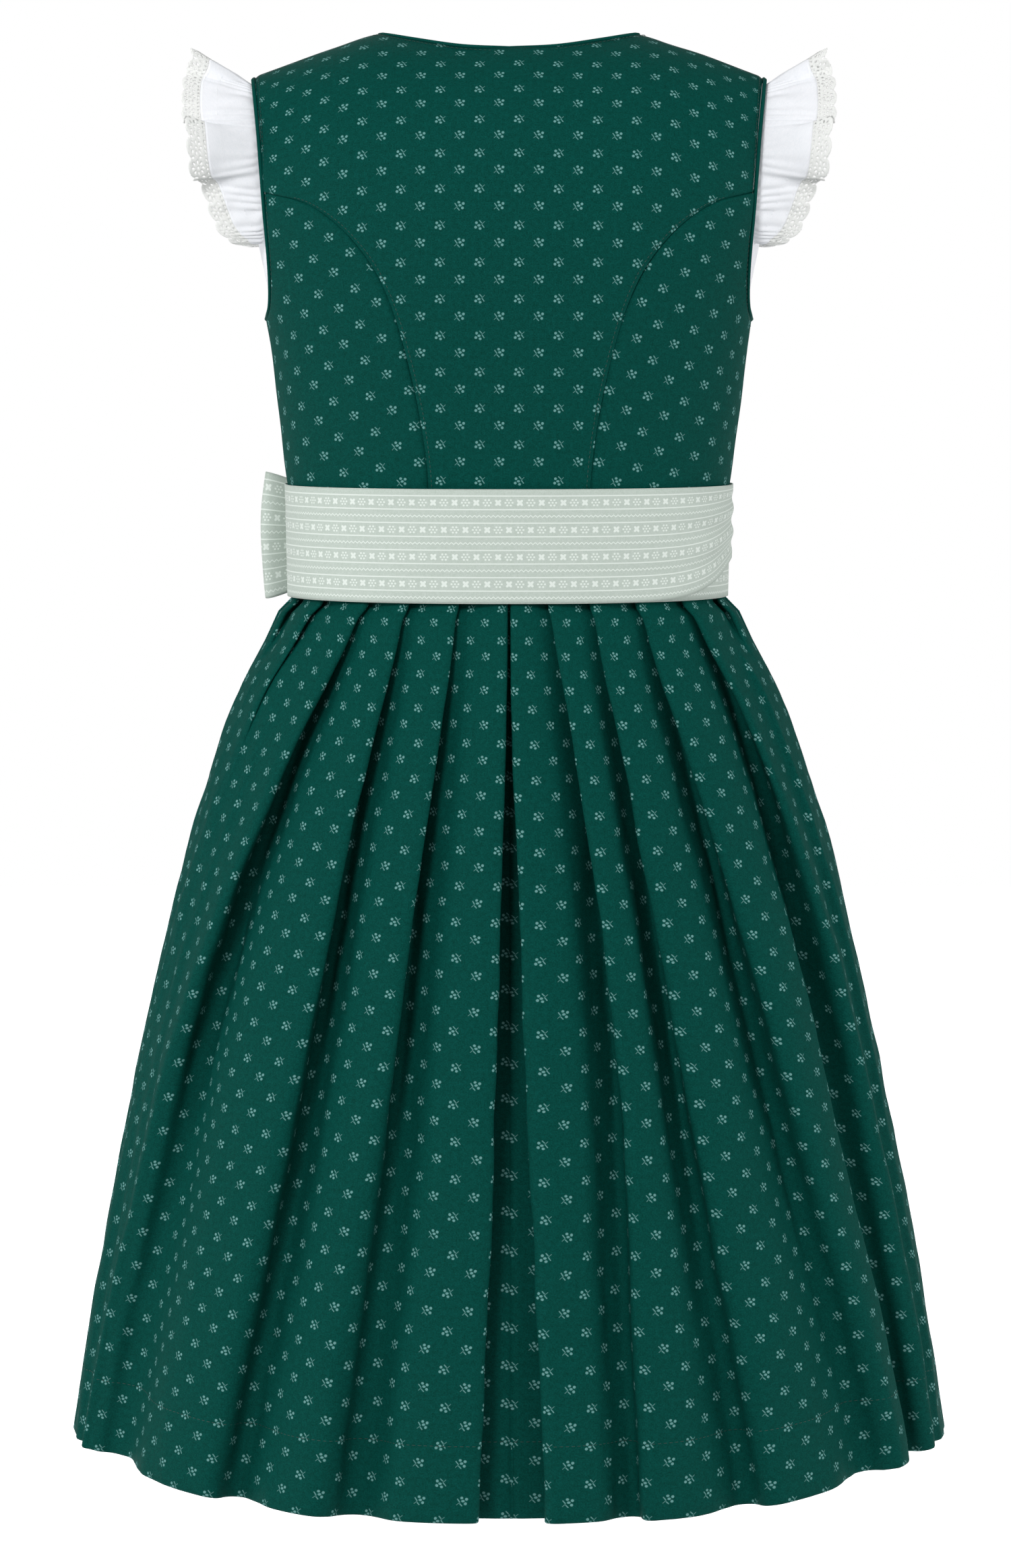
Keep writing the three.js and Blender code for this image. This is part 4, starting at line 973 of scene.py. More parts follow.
def rufflePoint(degrees, outwards):
    # degrees run from the underarm by the front over the shoulder to the back; outwards is 0 at the armhole
    # and 1 at the lace's edge
    share = (degrees - ruffle["start"]) / (360 - 2 * ruffle["start"])
    full = np.sin(math.pi * np.clip(share, 0, 1)) ** 0.52
    phase = math.pi * (rufflePhase(np.abs(degrees - 180)) - 1)
    spread = np.sign(degrees - 180) * ruffle["overhang"] * np.sin(2 * phase) * full * outwards ** 0.8
    there = degrees + spread
    turn = np.radians(there)
    top = float(crestOver(blouse["tip"])) - body["inset"] - 0.05
    z = mix(blouse["underarm"], top, (1 - np.cos(turn)) / 2)
    length = mix(ruffle["endLength"], ruffle["length"], full) - ruffle["topDip"] * bump(degrees, 180, 27)
    length = length + ruffle["tuckedIn"]
    # the gathered edge starts under the cord of the dress's armhole
    root = np.where((there < 180)[..., None],
                    bodyPoint(blouseArmhole["front"](z) - ruffle["tuckedIn"], z, "front", ruffle["under"]),
                    bodyPoint(blouseArmhole["back"](z) - ruffle["tuckedIn"], z, "back", ruffle["under"]))
    lift = np.radians(mix(4, 22, ease((1 - np.cos(turn)) / 2)))
    wave = np.cos(phase) * ruffle["depth"] * full * outwards ** 1.3
    fine = 2 * math.pi * ruffle["gathers"] * share
    fading = np.exp(-outwards * 2.6) * ease(outwards * 9)
    wave = wave + ruffle["gatherDepth"] * np.sin(fine + 2.2 * np.sin(fine * 0.23)) * fading
    wave = wave + 0.9 * softNoise(share * 420, outwards * 40, 34, 41) * full * ease(outwards * 6)
    radial = np.stack([np.zeros_like(turn), -np.sin(turn), -np.cos(turn)], axis=-1)
    point = root + radial * (length * outwards * np.sin(lift) + wave)[..., None]
    point[..., 0] += 0.6 + length * outwards * np.cos(lift)
    return point, length


def sleeveStrip(sign, columns, rows, outer=False):
    # the ruffle from the armhole to the lace's seam, or its outer strip from there to the edge
    degrees = np.linspace(ruffle["start"], 360 - ruffle["start"], columns)
    _, length = rufflePoint(degrees, np.ones(columns))
    join = 1 - np.minimum(ruffle["laceWidth"], 0.55 * length) / length
    t = np.linspace(0, 1, rows)[:, None]
    outwards = mix(join, 1.0, t) if outer else join[None, :] * t
    grid, _ = rufflePoint(degrees[None, :] * np.ones((rows, 1)), outwards * np.ones((rows, columns)))
    grid[..., 0] *= sign
    return grid, outwards


lace = {"thickness": 0.5, "unit": 10.4, "drawnWidth": 12.5, "scallop": 3.4, "picot": 0.35, "picotPitch": 1.3,
        "relief": 0.14}


def laceForm(s, t, width):
    # above zero where there is thread: eyelet flowers between a netted heading and a scalloped edge
    unitWide = lace["unit"]
    cell = np.mod(s, unitWide) - unitWide / 2
    shareWide = np.maximum(width, 2) / lace["drawnWidth"]
    y = t / shareWide
    cy = y - 6.6
    r, angle = np.hypot(cell, cy), np.arctan2(cy, cell)
    petalAngle = np.mod(angle + math.pi / 8, math.pi / 4) - math.pi / 8
    petal = np.hypot((r - 3.0) / 1.0, r * np.sin(petalAngle) / 0.55) - 1
    heart = r / 0.75 - 1
    solid = np.minimum(petal, heart)
    between = np.mod(s + unitWide / 2, unitWide) - unitWide / 2
    for cx, cyy, rx, ry in ((0, 8.8, 0.75, 0.95), (0, 4.4, 0.75, 0.95)):
        solid = np.minimum(solid, np.hypot((between - cx) / rx, (y - cyy) / ry) - 1)
    heading = np.mod(s, unitWide / 4) - unitWide / 8
    solid = np.minimum(solid, np.hypot(heading / 0.7, (y - 1.1) / 0.55) - 1)
    solid = solid * 0.7
    arch = np.sqrt(np.clip(1 - (2 * np.abs(cell) / unitWide) ** 2, 0, 1))
    edge = lace["drawnWidth"] - lace["scallop"] * (1 - arch)
    picot = lace["picot"] * np.abs(np.sin(math.pi * s / lace["picotPitch"]))
    return np.minimum(solid, edge + picot - 0.5 - y)


def laceStrip(word, sign):
    # a fine grid with the holes and the scallops left out of it
    columns, rows = 1000, 27
    grid, _ = sleeveStrip(sign, columns, rows, outer=True)
    run = runAlong(grid, 1)
    middle = run[rows // 2]
    units = round(middle[-1] / lace["unit"])
    s = (middle / middle[-1] * units * lace["unit"])[None, :] * np.ones((rows, 1))
    t = runAlong(grid, 0)
    width = t[-1:]
    form = laceForm(s, t, width)
    centre = (form[:-1, :-1] + form[1:, :-1] + form[:-1, 1:] + form[1:, 1:]) / 4
    keep = centre > 0
    # pull the cut edges onto the true outline
    du = np.gradient(form, axis=1) / np.maximum(np.gradient(s, axis=1), 1e-3)
    dv = np.gradient(form, axis=0) / np.maximum(np.gradient(t, axis=0), 1e-3)
    near = np.clip(-form / np.maximum(du ** 2 + dv ** 2, 0.04), -0.3, 0.3)
    near[np.abs(form) > 0.45] = 0
    across = unit(np.gradient(grid, axis=1))
    up = unit(np.gradient(grid, axis=0))
    moved = grid + across * (du * near)[..., None] + up * (dv * near)[..., None]
    normals = gridNormals(grid)
    moved = moved + normals * (lace["relief"] * np.exp(-(form / 0.28) ** 2))[..., None] * sign
    uv = np.stack([s, t], axis=-1) * mm
    trim = sheetObject(f"ruffle_lace_{word}", f"sleeve_lace_{word}", moved, uv, lace["thickness"], laceCotton,
                       keep=keep)
    return trim, grid


def sleeves():
    made = []
    for word, sign in bothSides:
        grid, _ = sleeveStrip(sign, 460, 22)
        uv = np.stack([runAlong(grid, 1), runAlong(grid, 0)], axis=-1) * mm
        cloth = sheetObject(f"ruffle_{word}", f"sleeve_{word}", grid, uv, blouse["thickness"], blouseCloth)
        trim, trimGrid = laceStrip(word, sign)
        lines = []
        for inset in ruffle["stitchInsets"]:
            points, normals = insetLine(grid, "top", inset)
            lines += [(points, normals * sign), (points, normals * -sign)]
        seam = stitchRow(f"stitches_ruffle_{word}", lines, ruffle["stitch"], whiteThread)
        made.append((cloth, grid, [seam], (0.3, 0.027, 0.8)))
        made.append((trim, trimGrid, [], (0.4, 0.0115, 0.8)))
    return made


blousePieces = blouseBody()
sleevePieces = sleeves()
print("blouse and sleeves laid")

# skirt
skirt = {
    "thickness": 0.7, "solidWall": 1.1, "rows": 92, "frontRows": 64,
    "top": -249.3, "free": -278,  # its seam, and where it comes out below the sash
    "liftFrom": -520, "liftOver": 207,
    "half": [(-249.3, 110.6), (-278, 113.2), (-285.5, 120.6), (-300, 127.6), (-330, 143.2), (-380, 160.6),
             (-434, 175.6), (-511, 193.4), (-600, 210.8), (-662, 222.0), (-727.6, 231.2)],
    "pleat": [(-249.3, 5.4), (-278, 5.8), (-300, 7.6), (-330, 10.0), (-380, 12.6), (-434, 14.6), (-511, 16.4),
              (-600, 17.4), (-662, 17.6), (-727.6, 17.4)],
    "turn": [(-249.3, 1.15), (-278, 1.2), (-300, 1.35), (-330, 1.6), (-380, 1.9), (-434, 2.2), (-511, 2.5),
             (-600, 2.8), (-662, 3.0), (-727.6, 3.1)],
    "depth": {"back": (85.6, 186), "front": (85.6, 180)},
    # fold edges as shares of a quarter round, at the waist and at the hem, then the tuck's depth, how soft
    # and how flat the fold gets, and how early it spreads
    "left": [(0.006, 0.047, 15, 0.12, 0, 0), (0.166, 0.29, 11, 0.7, 0, 0), (0.33, 0.474, 11, 0.62, 0, 0),
             (0.47, 0.8, 15, 0.75, 0, 0.5), (0.66, 0.88, 9, 0.95, 0.8, 1), (0.84, 0.95, 8, 1.0, 1.0, 1)],
    "right": [(0.006, 0.06, 11, 0.12, 0, 0), (0.128, 0.212, 10, 0.55, 0, 1), (0.265, 0.41, 11, 0.62, 0, 0),
              (0.42, 0.668, 11, 0.6, 0, 0), (0.6, 0.79, 15, 0.75, 0, 0.8), (0.82, 0.94, 8, 1.0, 1.0, 1)],
    "front": [(0.03, 0.04, 9, 0.85, 0.7, 1), (0.19, 0.2, 10, 0.8, 0.6, 1), (0.35, 0.365, 10, 0.75, 0.3, 1),
              (0.51, 0.53, 10, 0.8, 0, 1), (0.67, 0.7, 9, 0.85, 0, 1)],
    # how the two backs cross in the centre pleat, as distances along the outline and out of the fold
    "centreLap": {"left": [(-3.2, -1.3), (-1.2, -1.2)], "right": [(3.4, -2.6), (0.9, -1.0)]},
    # the hem's turning, as heights and how far inside the cloth it lies
    "turnedHem": [(-728.3, 0.25), (-728.6, 0.75), (-728.2, 1.25), (-726.5, 1.5), (-712, 1.5), (-700, 1.4),
                  (-690, 1.3)],
    "sink": 0.5, "sideLift": 10.0, "sag": 0.1, "backWidth": 385, "frontWidth": 670, "hemLine": -690,
    "hemStitch": {"length": 2.3, "gap": 0.7, "radius": 0.22, "lift": 0.4},
}
skirtHalf, pleatDepth, pleatTurn = (columnCurve(skirt[k]) for k in ("half", "pleat", "turn"))


def skirtQuarter(z, side):
    # the line of the pleats' valleys at a height, from the middle to the side: its length, and a function
    # that puts points at distances along it and out of it
    waist, hem = skirt["depth"][side]
    narrow, wide = skirtHalf(skirt["free"]), skirtHalf(body["hem"])
    full = (skirtHalf(z) - narrow) / (wide - narrow)
    inside = pleatDepth(z) + skirt["solidWall"] / 2
    a, b = skirtHalf(z) - inside, mix(waist, hem, full) - inside
    turn = np.linspace(0, math.pi / 2, 321)
    x, y = a * np.sin(turn) ** (2 / power), b * np.maximum(np.cos(turn), 0) ** (2 / power)
    run = np.concatenate([[0], np.cumsum(np.hypot(np.diff(x), np.diff(y)))])

    def pointAt(arc, out):
        t = np.clip(arc, 0, run[-1])
        px, py = np.interp(t, run, x), np.interp(t, run, y)
        nx, ny = (px / a) ** (power - 1) / a, (py / b) ** (power - 1) / b
        size = np.hypot(nx, ny)
        nx, ny = nx / size, ny / size
        past = arc - t
        return px + nx * out + ny * past, py + ny * out - nx * past

    return run[-1], pointAt


def foldSink(z):
    # how much deeper the valleys lie than the pleats are high
    return skirt["sink"] * pleatDepth(z) * ease((-285 - z) / 60) * mix(1, 0.05, ease((-420 - z) / 230))


def pleatRun(pleats, length, z, endOut):
    # arc along the outline and distance out of it, with the fold edges towards arc 0
    height, turn = pleatDepth(z), pleatTurn(z)
    atWaist, atHem, tucks, soft, flat, pace = np.array(pleats, float).T
    fallen = skirt["free"] - z
    # a fold edge moves to its place at the hem quickly, or steadily where its pace is 0
    steady = np.clip((fallen - 42) / 400, 0, 1)
    quick = 1 - (1 - np.clip(fallen / 235, 0, 1)) ** 1.35
    softness = soft * ease((mix(-300, -276, flat) - z) / mix(360, 40, flat))
    flatness = flat * ease(fallen / 40)
    edges = length * mix(atWaist, atHem, mix(steady, quick, pace))
    run = []

    def add(k, arc, out, waveArc, waveOut):
        # a point of the pressed pleat, and where it goes once the pleat is a wave
        level = mix(mix(out, waveOut, softness[k]), 0.97 * height, flatness[k])
        sunk = foldSink(z) * (1 - flatness[k]) * (1 - level / height) ** 2
        run.append((mix(arc, waveArc, softness[k]), level - sunk))

    for k, edge in enumerate(edges):
        following = edges[k + 1] if k + 1 < len(edges) else 2 * edge - edges[k - 1]
        back = edge - edges[k - 1] if k else following - edge
        ahead = following - edge
        tuck = tucks[k] * mix(0.85, 1.15, ease(fallen / 450))
        add(k, edge + tuck - turn, 0, edge - 0.3 * back, 0)
        add(k, edge + tuck, turn, edge - 0.22 * back, 0.1 * height)
        add(k, edge + tuck - turn, 2 * turn, edge - 0.15 * back, 0.32 * height)
        add(k, edge + turn, height - 2 * turn, edge - 0.08 * back, 0.62 * height)
        add(k, edge, height - turn, edge, 0.86 * height)
        add(k, edge + turn, height, edge + 0.1 * ahead, height)
        add(k, edge + 0.55 * ahead, 0.76 * height, edge + 0.38 * ahead, 0.78 * height)
        if k + 1 < len(edges):
            add(k + 1, following, 0.16 * height, edge + 0.6 * ahead, 0.12 * height)
    run.append((length - 0.45, endOut))
    return run


# samples between the points of one pleat
pleatSpans, frontSpans = [3, 3, 4, 3, 3, 8, 8, 5], [2, 2, 3, 2, 2, 6, 6, 3]


def hemShift(z, share, out):
    # how much higher the cloth hangs towards the side seams, and lower in the folds
    lift = skirt["sideLift"] * ease((share - 0.2) / 0.6) - 3 * ease((share - 0.8) / 0.2)
    risen = ease((skirt["liftFrom"] - z) / skirt["liftOver"])
    return risen * (lift - skirt["sag"] * np.minimum(pleatDepth(z) - out, pleatDepth(z)))


def turnedHem(grid, zs, sign):
    # the hem's turning: under the edge and up inside
    normals = gridNormals(grid) * sign
    rows = []
    for height, inward in skirt["turnedHem"]:
        level = np.clip(height, zs[-1], zs[0])
        j = int(np.argmin(np.abs(zs - level)))
        row = grid[j] - normals[j] * inward
        row[:, 2] = grid[j, :, 2] + height - zs[j]
        rows.append(row)
    return np.concatenate([grid, np.array(rows)])


def hemStitches(name, grid, zs, sign):
    # the row that holds the turned-up hem
    level = int(np.argmin(np.abs(zs - skirt["hemLine"])))
    line = (grid[level], gridNormals(grid)[level] * sign)
    return stitchRow(name, [line], skirt["hemStitch"], greenThread)


def skirtUV(grid, width, shift):
    # the print follows the cloth: each row keeps the cut's own width
    run = runAlong(grid, 1)
    u = run / run[:, -1:] * width + shift
    drop = runAlong(grid, 0)
    v = -drop.mean(axis=1, keepdims=True) * np.ones_like(u)
    return np.stack([u, v], axis=-1) * mm


def skirtBack():
    # two halves that cross deep in the centre pleat; towards the side each goes on under the front
    made = []
    zs = np.linspace(skirt["top"], body["hem"], skirt["rows"])
    for word, sign in bothSides:
        rows = []
        for z in zs:
            length, pointAt = skirtQuarter(z, "back")
            deep = -1.2 * foldSink(z)
            lap = [(arc, deep + out) for arc, out in skirt["centreLap"][word]]
            endOut = 0.3 * pleatDepth(z)
            run = lap + [(0.15, deep)] + pleatRun(skirt[word], length, z, endOut)
            run += [(length + 0.8, endOut - 1.35), (length + 4, endOut - 1.5)]
            arc, out = np.array(run).T
            x, y = pointAt(arc, out)
            rows.append(np.stack([sign * x, y, z + hemShift(z, arc / length, out)], axis=-1))
        spans = [2, 2, 3] + (pleatSpans * len(skirt[word]))[:-2] + [9, 2, 2]
        grid = smoothThrough(np.array(rows), spans)
        run = runAlong(grid, 1)
        fall = ease((-285 - grid[..., 2]) / 120)
        drape = fall * (0.9 * softNoise(run, grid[..., 2] * 0.28, 46, 51 + sign)
                        + 0.5 * softNoise(run, grid[..., 2] * 0.5, 22, 57 + sign))
        grid = pushed(grid, drape * ease(run / 25), -sign)
        whole = turnedHem(grid, zs, sign)
        uv = skirtUV(whole, skirt["backWidth"], 5.0)
        uv[..., 0] *= -sign
        panel = sheetObject(f"cloth_skirt_back_{word}", f"skirt_back_{word}", whole, uv, skirt["thickness"],
                            dressCloth)
        hem = hemStitches(f"stitches_hem_back_{word}", grid, zs, sign)
        made.append((panel, whole, [hem], (0.385, 0.525, 1.0)))
    return made


def skirtFront():
    # flat at the side seams, pleated towards the middle, mirrored
    zs = np.linspace(skirt["top"], body["hem"], skirt["frontRows"])
    rows = []
    for z in zs:
        length, pointAt = skirtQuarter(z, "front")
        flatOut = 0.62 * pleatDepth(z)
        run = pleatRun(skirt["front"], length, z, flatOut)[:-1]
        half = [(0.45, 0.3 * pleatDepth(z))] + run + [(share * length, flatOut) for share in (0.8, 0.9, 1.0)]
        arc, out = np.array(half).T
        x, y = pointAt(length - arc, out)
        one = np.stack([x, -y, z + hemShift(z, 1 - arc / length, out)], axis=-1)
        other = one[:-1][::-1] * np.array([-1, 1, 1])
        rows.append(np.concatenate([one, other]))
    counts = [3] + (frontSpans * len(skirt["front"]))[:-2] + [4, 3, 3]
    grid = smoothThrough(np.array(rows), counts + counts[::-1])
    run = runAlong(grid, 1)
    fall = ease((-290 - grid[..., 2]) / 120)
    edge = np.minimum(run, run[:, -1:] - run)
    drape = fall * 0.8 * softNoise(run, grid[..., 2] * 0.28, 46, 61) * ease(edge / 25)
    grid = pushed(grid, drape, 1)
    whole = turnedHem(grid, zs, 1)
    uv = skirtUV(whole, skirt["frontWidth"], 0.0)
    panel = sheetObject("cloth_skirt_front", "skirt_front", whole, uv, skirt["thickness"], dressCloth)
    hem = hemStitches("stitches_hem_front", grid, zs, 1)
    return [(panel, whole, [hem], (0.67, 0.525, 1.0))]


skirtPieces = skirtBack() + skirtFront()
print("skirt laid")

# apron
apron = {"thickness": 0.6, "solidWall": 1.0, "gathers": 9, "top": -278.6, "hem": -688, "width": 310,
         "length": 410}


def apronPanel():
    # gathered under the sash and hanging clear of the skirt
    zs = np.linspace(apron["top"], apron["hem"], 60)
    t = np.linspace(0, 1, 225)
    rows = []
    for z in zs:
        drop = (skirt["free"] - z) / (skirt["free"] - apron["hem"])
        length, pointAt = skirtQuarter(z, "front")
        reach = mix(0.52, 0.58, drop) * length
        clear = pleatDepth(z) + skirt["solidWall"] / 2 + apron["solidWall"] / 2 + 0.5
        depth = mix(0.7, 5.5, ease(drop * 1.4))
        arc = np.abs(2 * t - 1) * reach
        wave = (1 - np.cos(2 * math.pi * apron["gathers"] * t + 0.5 * np.sin(9 * t + drop))) / 2
        x, y = pointAt(arc, clear + depth * wave)
        rows.append(np.stack([np.sign(t - 0.5) * x, -y, np.full_like(x, z)], axis=-1))
    grid = np.array(rows)
    run = runAlong(grid, 1)
    drop = (apron["top"] - grid[..., 2]) / apron["length"]
    fine = 0.5 * np.sin(2 * math.pi * run / 6.5 + 1.5 * np.sin(run / 17)) * np.exp(-drop * 14)
    drape = fine + 0.7 * ease(drop * 4) * softNoise(run, grid[..., 2] * 0.25, 40, 71)
    grid = pushed(grid, drape, -1)
    across = run / run[:, -1:] * apron["width"]
    uv = np.stack([grid[..., 2], across], axis=-1) * mm
    panel = sheetObject("apron_cloth_panel", "apron_panel", grid, uv, apron["thickness"], apronCloth)
    return [(panel, grid, [], (0.31, 0.41, 1.0))]


# sash and bow
sash = {"thickness": 0.7, "top": -220, "bottom": -278, "wide": 58, "step": 1.35, "bowX": 62, "rise": 20}
sashHalf, sashBack, sashFront = (columnCurve([(-278, low), (-220, high)])
                                 for low, high in ((114.5, 115.6), (87.0, 85.1), (87.0, 87.1)))


def waistPoint(degrees, z, out):
    # round the waist from the middle of the front by the wearer's left, out millimetres off the first turn
    degrees, z = np.broadcast_arrays(np.asarray(degrees, float), np.asarray(z, float))
    turn = np.radians(degrees)
    half = sashHalf(z) + out
    depth = np.where(np.cos(turn) > 0, sashFront(z), sashBack(z)) + out

    def shape(value):
        return np.sign(value) * np.abs(value) ** (2 / power)

    return np.stack([half * shape(np.sin(turn)), -depth * shape(np.cos(turn)), z], axis=-1)


bowAngle = 0.0
while waistPoint(bowAngle, body["waist"], sash["step"])[0] < sash["bowX"]:
    bowAngle += 0.5


def sashTurns():
    # a first turn all round, then the second over it, which rises and creases at the wearer's right
    made = []
    degrees = np.linspace(0, 360, 241)[:-1]
    t = np.linspace(0, 1, 14)[:, None]
    grid = waistPoint(degrees[None, :] * np.ones_like(t), mix(sash["bottom"], sash["top"] - 0.6, t), 0)
    around = np.concatenate([grid, grid[:, :1]], axis=1)
    run = runAlong(around, 1)
    uv = np.stack([run[:1] * np.ones((14, 1)), around[..., 2] - sash["top"]], axis=-1) * mm
    first = sheetObject("sash_inner_turn", "sash_first_turn", grid, uv, sash["thickness"], apronCloth,
                        around=True)
    made.append((first, around, [], (0.65, 0.058, 1.0)))

    degrees = np.linspace(bowAngle + 2, 358 + bowAngle, 340)[None, :]
    t = np.linspace(0, 1, 34)[:, None]
    rise = sash["rise"] * bump(degrees, 268, 27)
    z = mix(sash["bottom"] + rise, sash["top"], t)
    grid = waistPoint(degrees * np.ones_like(t), z, sash["step"])
    run = runAlong(grid, 1)
    crush = bump(degrees, 262, 40)
    fold = crush * (0.65 * np.sin(2 * math.pi * (t * 3.1 + degrees / 160)) * ease(t * 4) * ease((1 - t) * 4))
    drape = fold + 0.35 * softNoise(run, z * 2.2, 60, 81)
    grid = pushed(grid, drape, -1)
    uv = np.stack([run[17:18] * np.ones_like(t), (t - 1) * sash["wide"] * np.ones_like(run)], axis=-1) * mm
    second = sheetObject("sash_outer_turn", "sash_second_turn", grid, uv, sash["thickness"], apronCloth)
    made.append((second, grid, [], (0.66, 0.058, 1.0)))
    return made


bow = {
    "knotWidth": 24, "knotHeight": 32, "knotDepth": 13, "knotThickness": 0.8,
    "loopLength": 74.5, "loopHeight": 67.5, "tipSwell": 2.8, "loopThroat": 26, "loopThickness": 20,
    "tailStep": 4.2,
}
bowRoot = waistPoint(bowAngle, body["waist"], sash["step"] + 0.8)
bowOut = unit(waistPoint(bowAngle, body["waist"], 30) - waistPoint(bowAngle, body["waist"], 0))
bowAside = np.array([-bowOut[1], bowOut[0], 0])


def bowPlace(aside, out, up):
    # the bow's own directions, from the place where it is tied
    aside, out, up = (part[..., None] for part in np.broadcast_arrays(aside, out, up))
    return bowRoot + aside * bowAside + out * bowOut + up * np.array([0, 0, 1.0])


def bowKnot():
    t = np.linspace(0, 1, 22)[:, None]
    turn = 2 * math.pi * np.linspace(0, 1, 61)[:-1][None, :]
    up = (t - 0.5) * bow["knotHeight"]
    swell = 0.84 + 0.16 * np.cos(math.pi * (t - 0.5)) + 0.025 * np.sin(2 * math.pi * 3 * t + np.cos(turn))

    def shape(value):
        return np.sign(value) * np.abs(value) ** 0.7

    grid = bowPlace((bow["knotWidth"] / 2 - 0.7) * swell * shape(np.cos(turn)),
                    bow["knotDepth"] / 2 + (bow["knotDepth"] / 2 - 0.7) * swell * shape(np.sin(turn)),
                    up + 0 * turn)
    around = np.concatenate([grid, grid[:, :1]], axis=1)
    uv = np.stack([runAlong(around, 1), -28 + 1.3 * up + 0 * runAlong(around, 1)], axis=-1) * mm
    knot = sheetObject("bow_cloth_knot", "bow_knot", grid, uv, bow["knotThickness"], apronCloth, around=True)
    return [(knot, around, [], (0.062, 0.032, 1.0))]


def bowLoop(word, sign, bend, lift):
    # a flattened loop round its own opening, pinched at the knot; it bends round the waist by bend degrees
    t = np.linspace(0, 1, 40)[:, None]
    turn = 2 * math.pi * np.linspace(0, 1, 121)[:-1][None, :]
    along = (1 - np.cos(turn)) / 2
    throat = bow["knotWidth"] / 2 + 0.8
    reach = throat + along * (bow["loopLength"] - throat + bow["tipSwell"] * (1 - (2 * t - 1) ** 2))
    gape = (bow["loopThickness"] / 2) * np.sin(turn) * (0.35 + 0.65 * along) + 8
    tall = mix(bow["loopThroat"], bow["loopHeight"], along)
    curl = math.radians(bend) * along
    pinch = (1 - along) ** 1.6
    crease = 1.3 * pinch * np.cos(2 * math.pi * 3.5 * t)
    crease = crease + 0.5 * along * np.sin(2 * math.pi * (1.3 * t + 0.4 * along))
    gape = gape + crease * np.sign(np.sin(turn) + 1e-6)
    grid = bowPlace(sign * reach * np.cos(curl), gape - reach * np.sin(curl), (t - 0.5) * tall + lift * along)
    around = np.concatenate([grid, grid[:, :1]], axis=1)
    run = runAlong(around, 1)[20:21]
    uv = np.stack([run * np.ones_like(t), (t - 1) * sash["wide"] * np.ones_like(run)], axis=-1) * mm
    loop = sheetObject(f"bow_cloth_loop_{word}", f"bow_loop_{word}", grid, uv, sash["thickness"], apronCloth,
                       around=True)
    return [(loop, around, [], (0.14, 0.062, 0.9))]


def bowTail(word, layer, topAside, endShare, length, slant):
    # share is the way down the tail, and layer is 1 where it lies over the other
    topZ = body["waist"] - bow["knotHeight"] / 2 - 0.3
    above = layer * bow["tailStep"]
    t = np.linspace(0, 1, 80)
    u = np.linspace(0, 1, 34)
    rows = []
    for share in t:
        z = mix(topZ, topZ - length, share)
        onSkirt = ease((-266 - z) / 30)
        width = mix(19, 56, ease(share * 2.2))
        row = []
        for k in u:
            height = z - slant * (k - 0.5) * share
            girth, pointAt = skirtQuarter(height, "front")
            lead = sash["bowX"] + topAside + (endShare * girth - sash["bowX"] - topAside) * ease(share * 1.2)
            aside = (k - 0.5) * width
            fold = 0.8 * math.sin(2 * math.pi * k) + 1.1 * math.sin(6 * math.pi * k) * math.exp(-share * 4)
            clear = pleatDepth(height) + 9 + above + fold
            hx, hy = pointAt(np.array(lead + aside), np.array(clear))
            behind = bow["knotDepth"] / 2 + above - 2.6
            tied = bowPlace(np.array(aside + topAside), np.array(behind), np.array(0.0))
            row.append([mix(tied[0], float(hx), onSkirt), mix(tied[1], -float(hy), onSkirt), height])
        rows.append(row)
    grid = np.array(rows)
    down, across = np.broadcast_arrays(t[:, None] * length, (u[None, :] - 1) * sash["wide"])
    uv = np.stack([down, across], axis=-1) * mm
    tail = sheetObject(f"bow_cloth_tail_{word}", f"bow_tail_{word}", grid, uv, sash["thickness"], apronCloth)
    return [(tail, grid, [], (0.058, length * mm, 1.0))]


apronPieces = apronPanel()
sashPieces = sashTurns()
bowPieces = (bowKnot() + bowLoop("left", 1, 2, 0) + bowLoop("right", -1, 16, -3)
             + bowTail("left", 0, 1, 0.46, 262, 14) + bowTail("right", 1, -1, 0.26, 236, -14))
print("apron, sash and bow laid")

# buttons
buttonSettings = {"heights": [-122, -144, -166, -188, -210], "radius": 5.4, "thick": 2.4}
hornButton = plainMaterial("horn_button", "#A79C86", 0.35, 0.5)


def makeButton():
    radius, thick = buttonSettings["radius"] * mm, buttonSettings["thick"] * mm
    bpy.ops.object.select_all(action="DESELECT")
    bpy.ops.mesh.primitive_cylinder_add(vertices=40, radius=radius, depth=thick, location=(0, 0, thick / 2))
    obj = bpy.context.object
    obj.name = "button_model"
    bpy.ops.object.mode_set(mode="EDIT")
    bpy.ops.mesh.select_all(action="DESELECT")
    bpy.ops.mesh.select_mode(type="FACE")
    bpy.ops.object.mode_set(mode="OBJECT")
    for face in obj.data.polygons:
        face.select = face.normal.z > 0.9
    bpy.ops.object.mode_set(mode="EDIT")
    bpy.ops.mesh.inset(thickness=radius * 0.2, depth=0)
    bpy.ops.mesh.inset(thickness=radius * 0.06, depth=-thick * 0.2)
    bpy.ops.mesh.inset(thickness=radius * 0.3, depth=thick * 0.08)
    bpy.ops.object.mode_set(mode="OBJECT")
    bpy.ops.object.transform_apply(location=True, rotation=True, scale=True)
    edge = obj.modifiers.new("edge", "BEVEL")
    edge.width, edge.segments, edge.limit_method = thick * 0.14, 3, "ANGLE"
    bpy.ops.object.modifier_apply(modifier=edge.name)
    bpy.ops.object.shade_smooth_by_angle(angle=math.radians(40))
    return obj


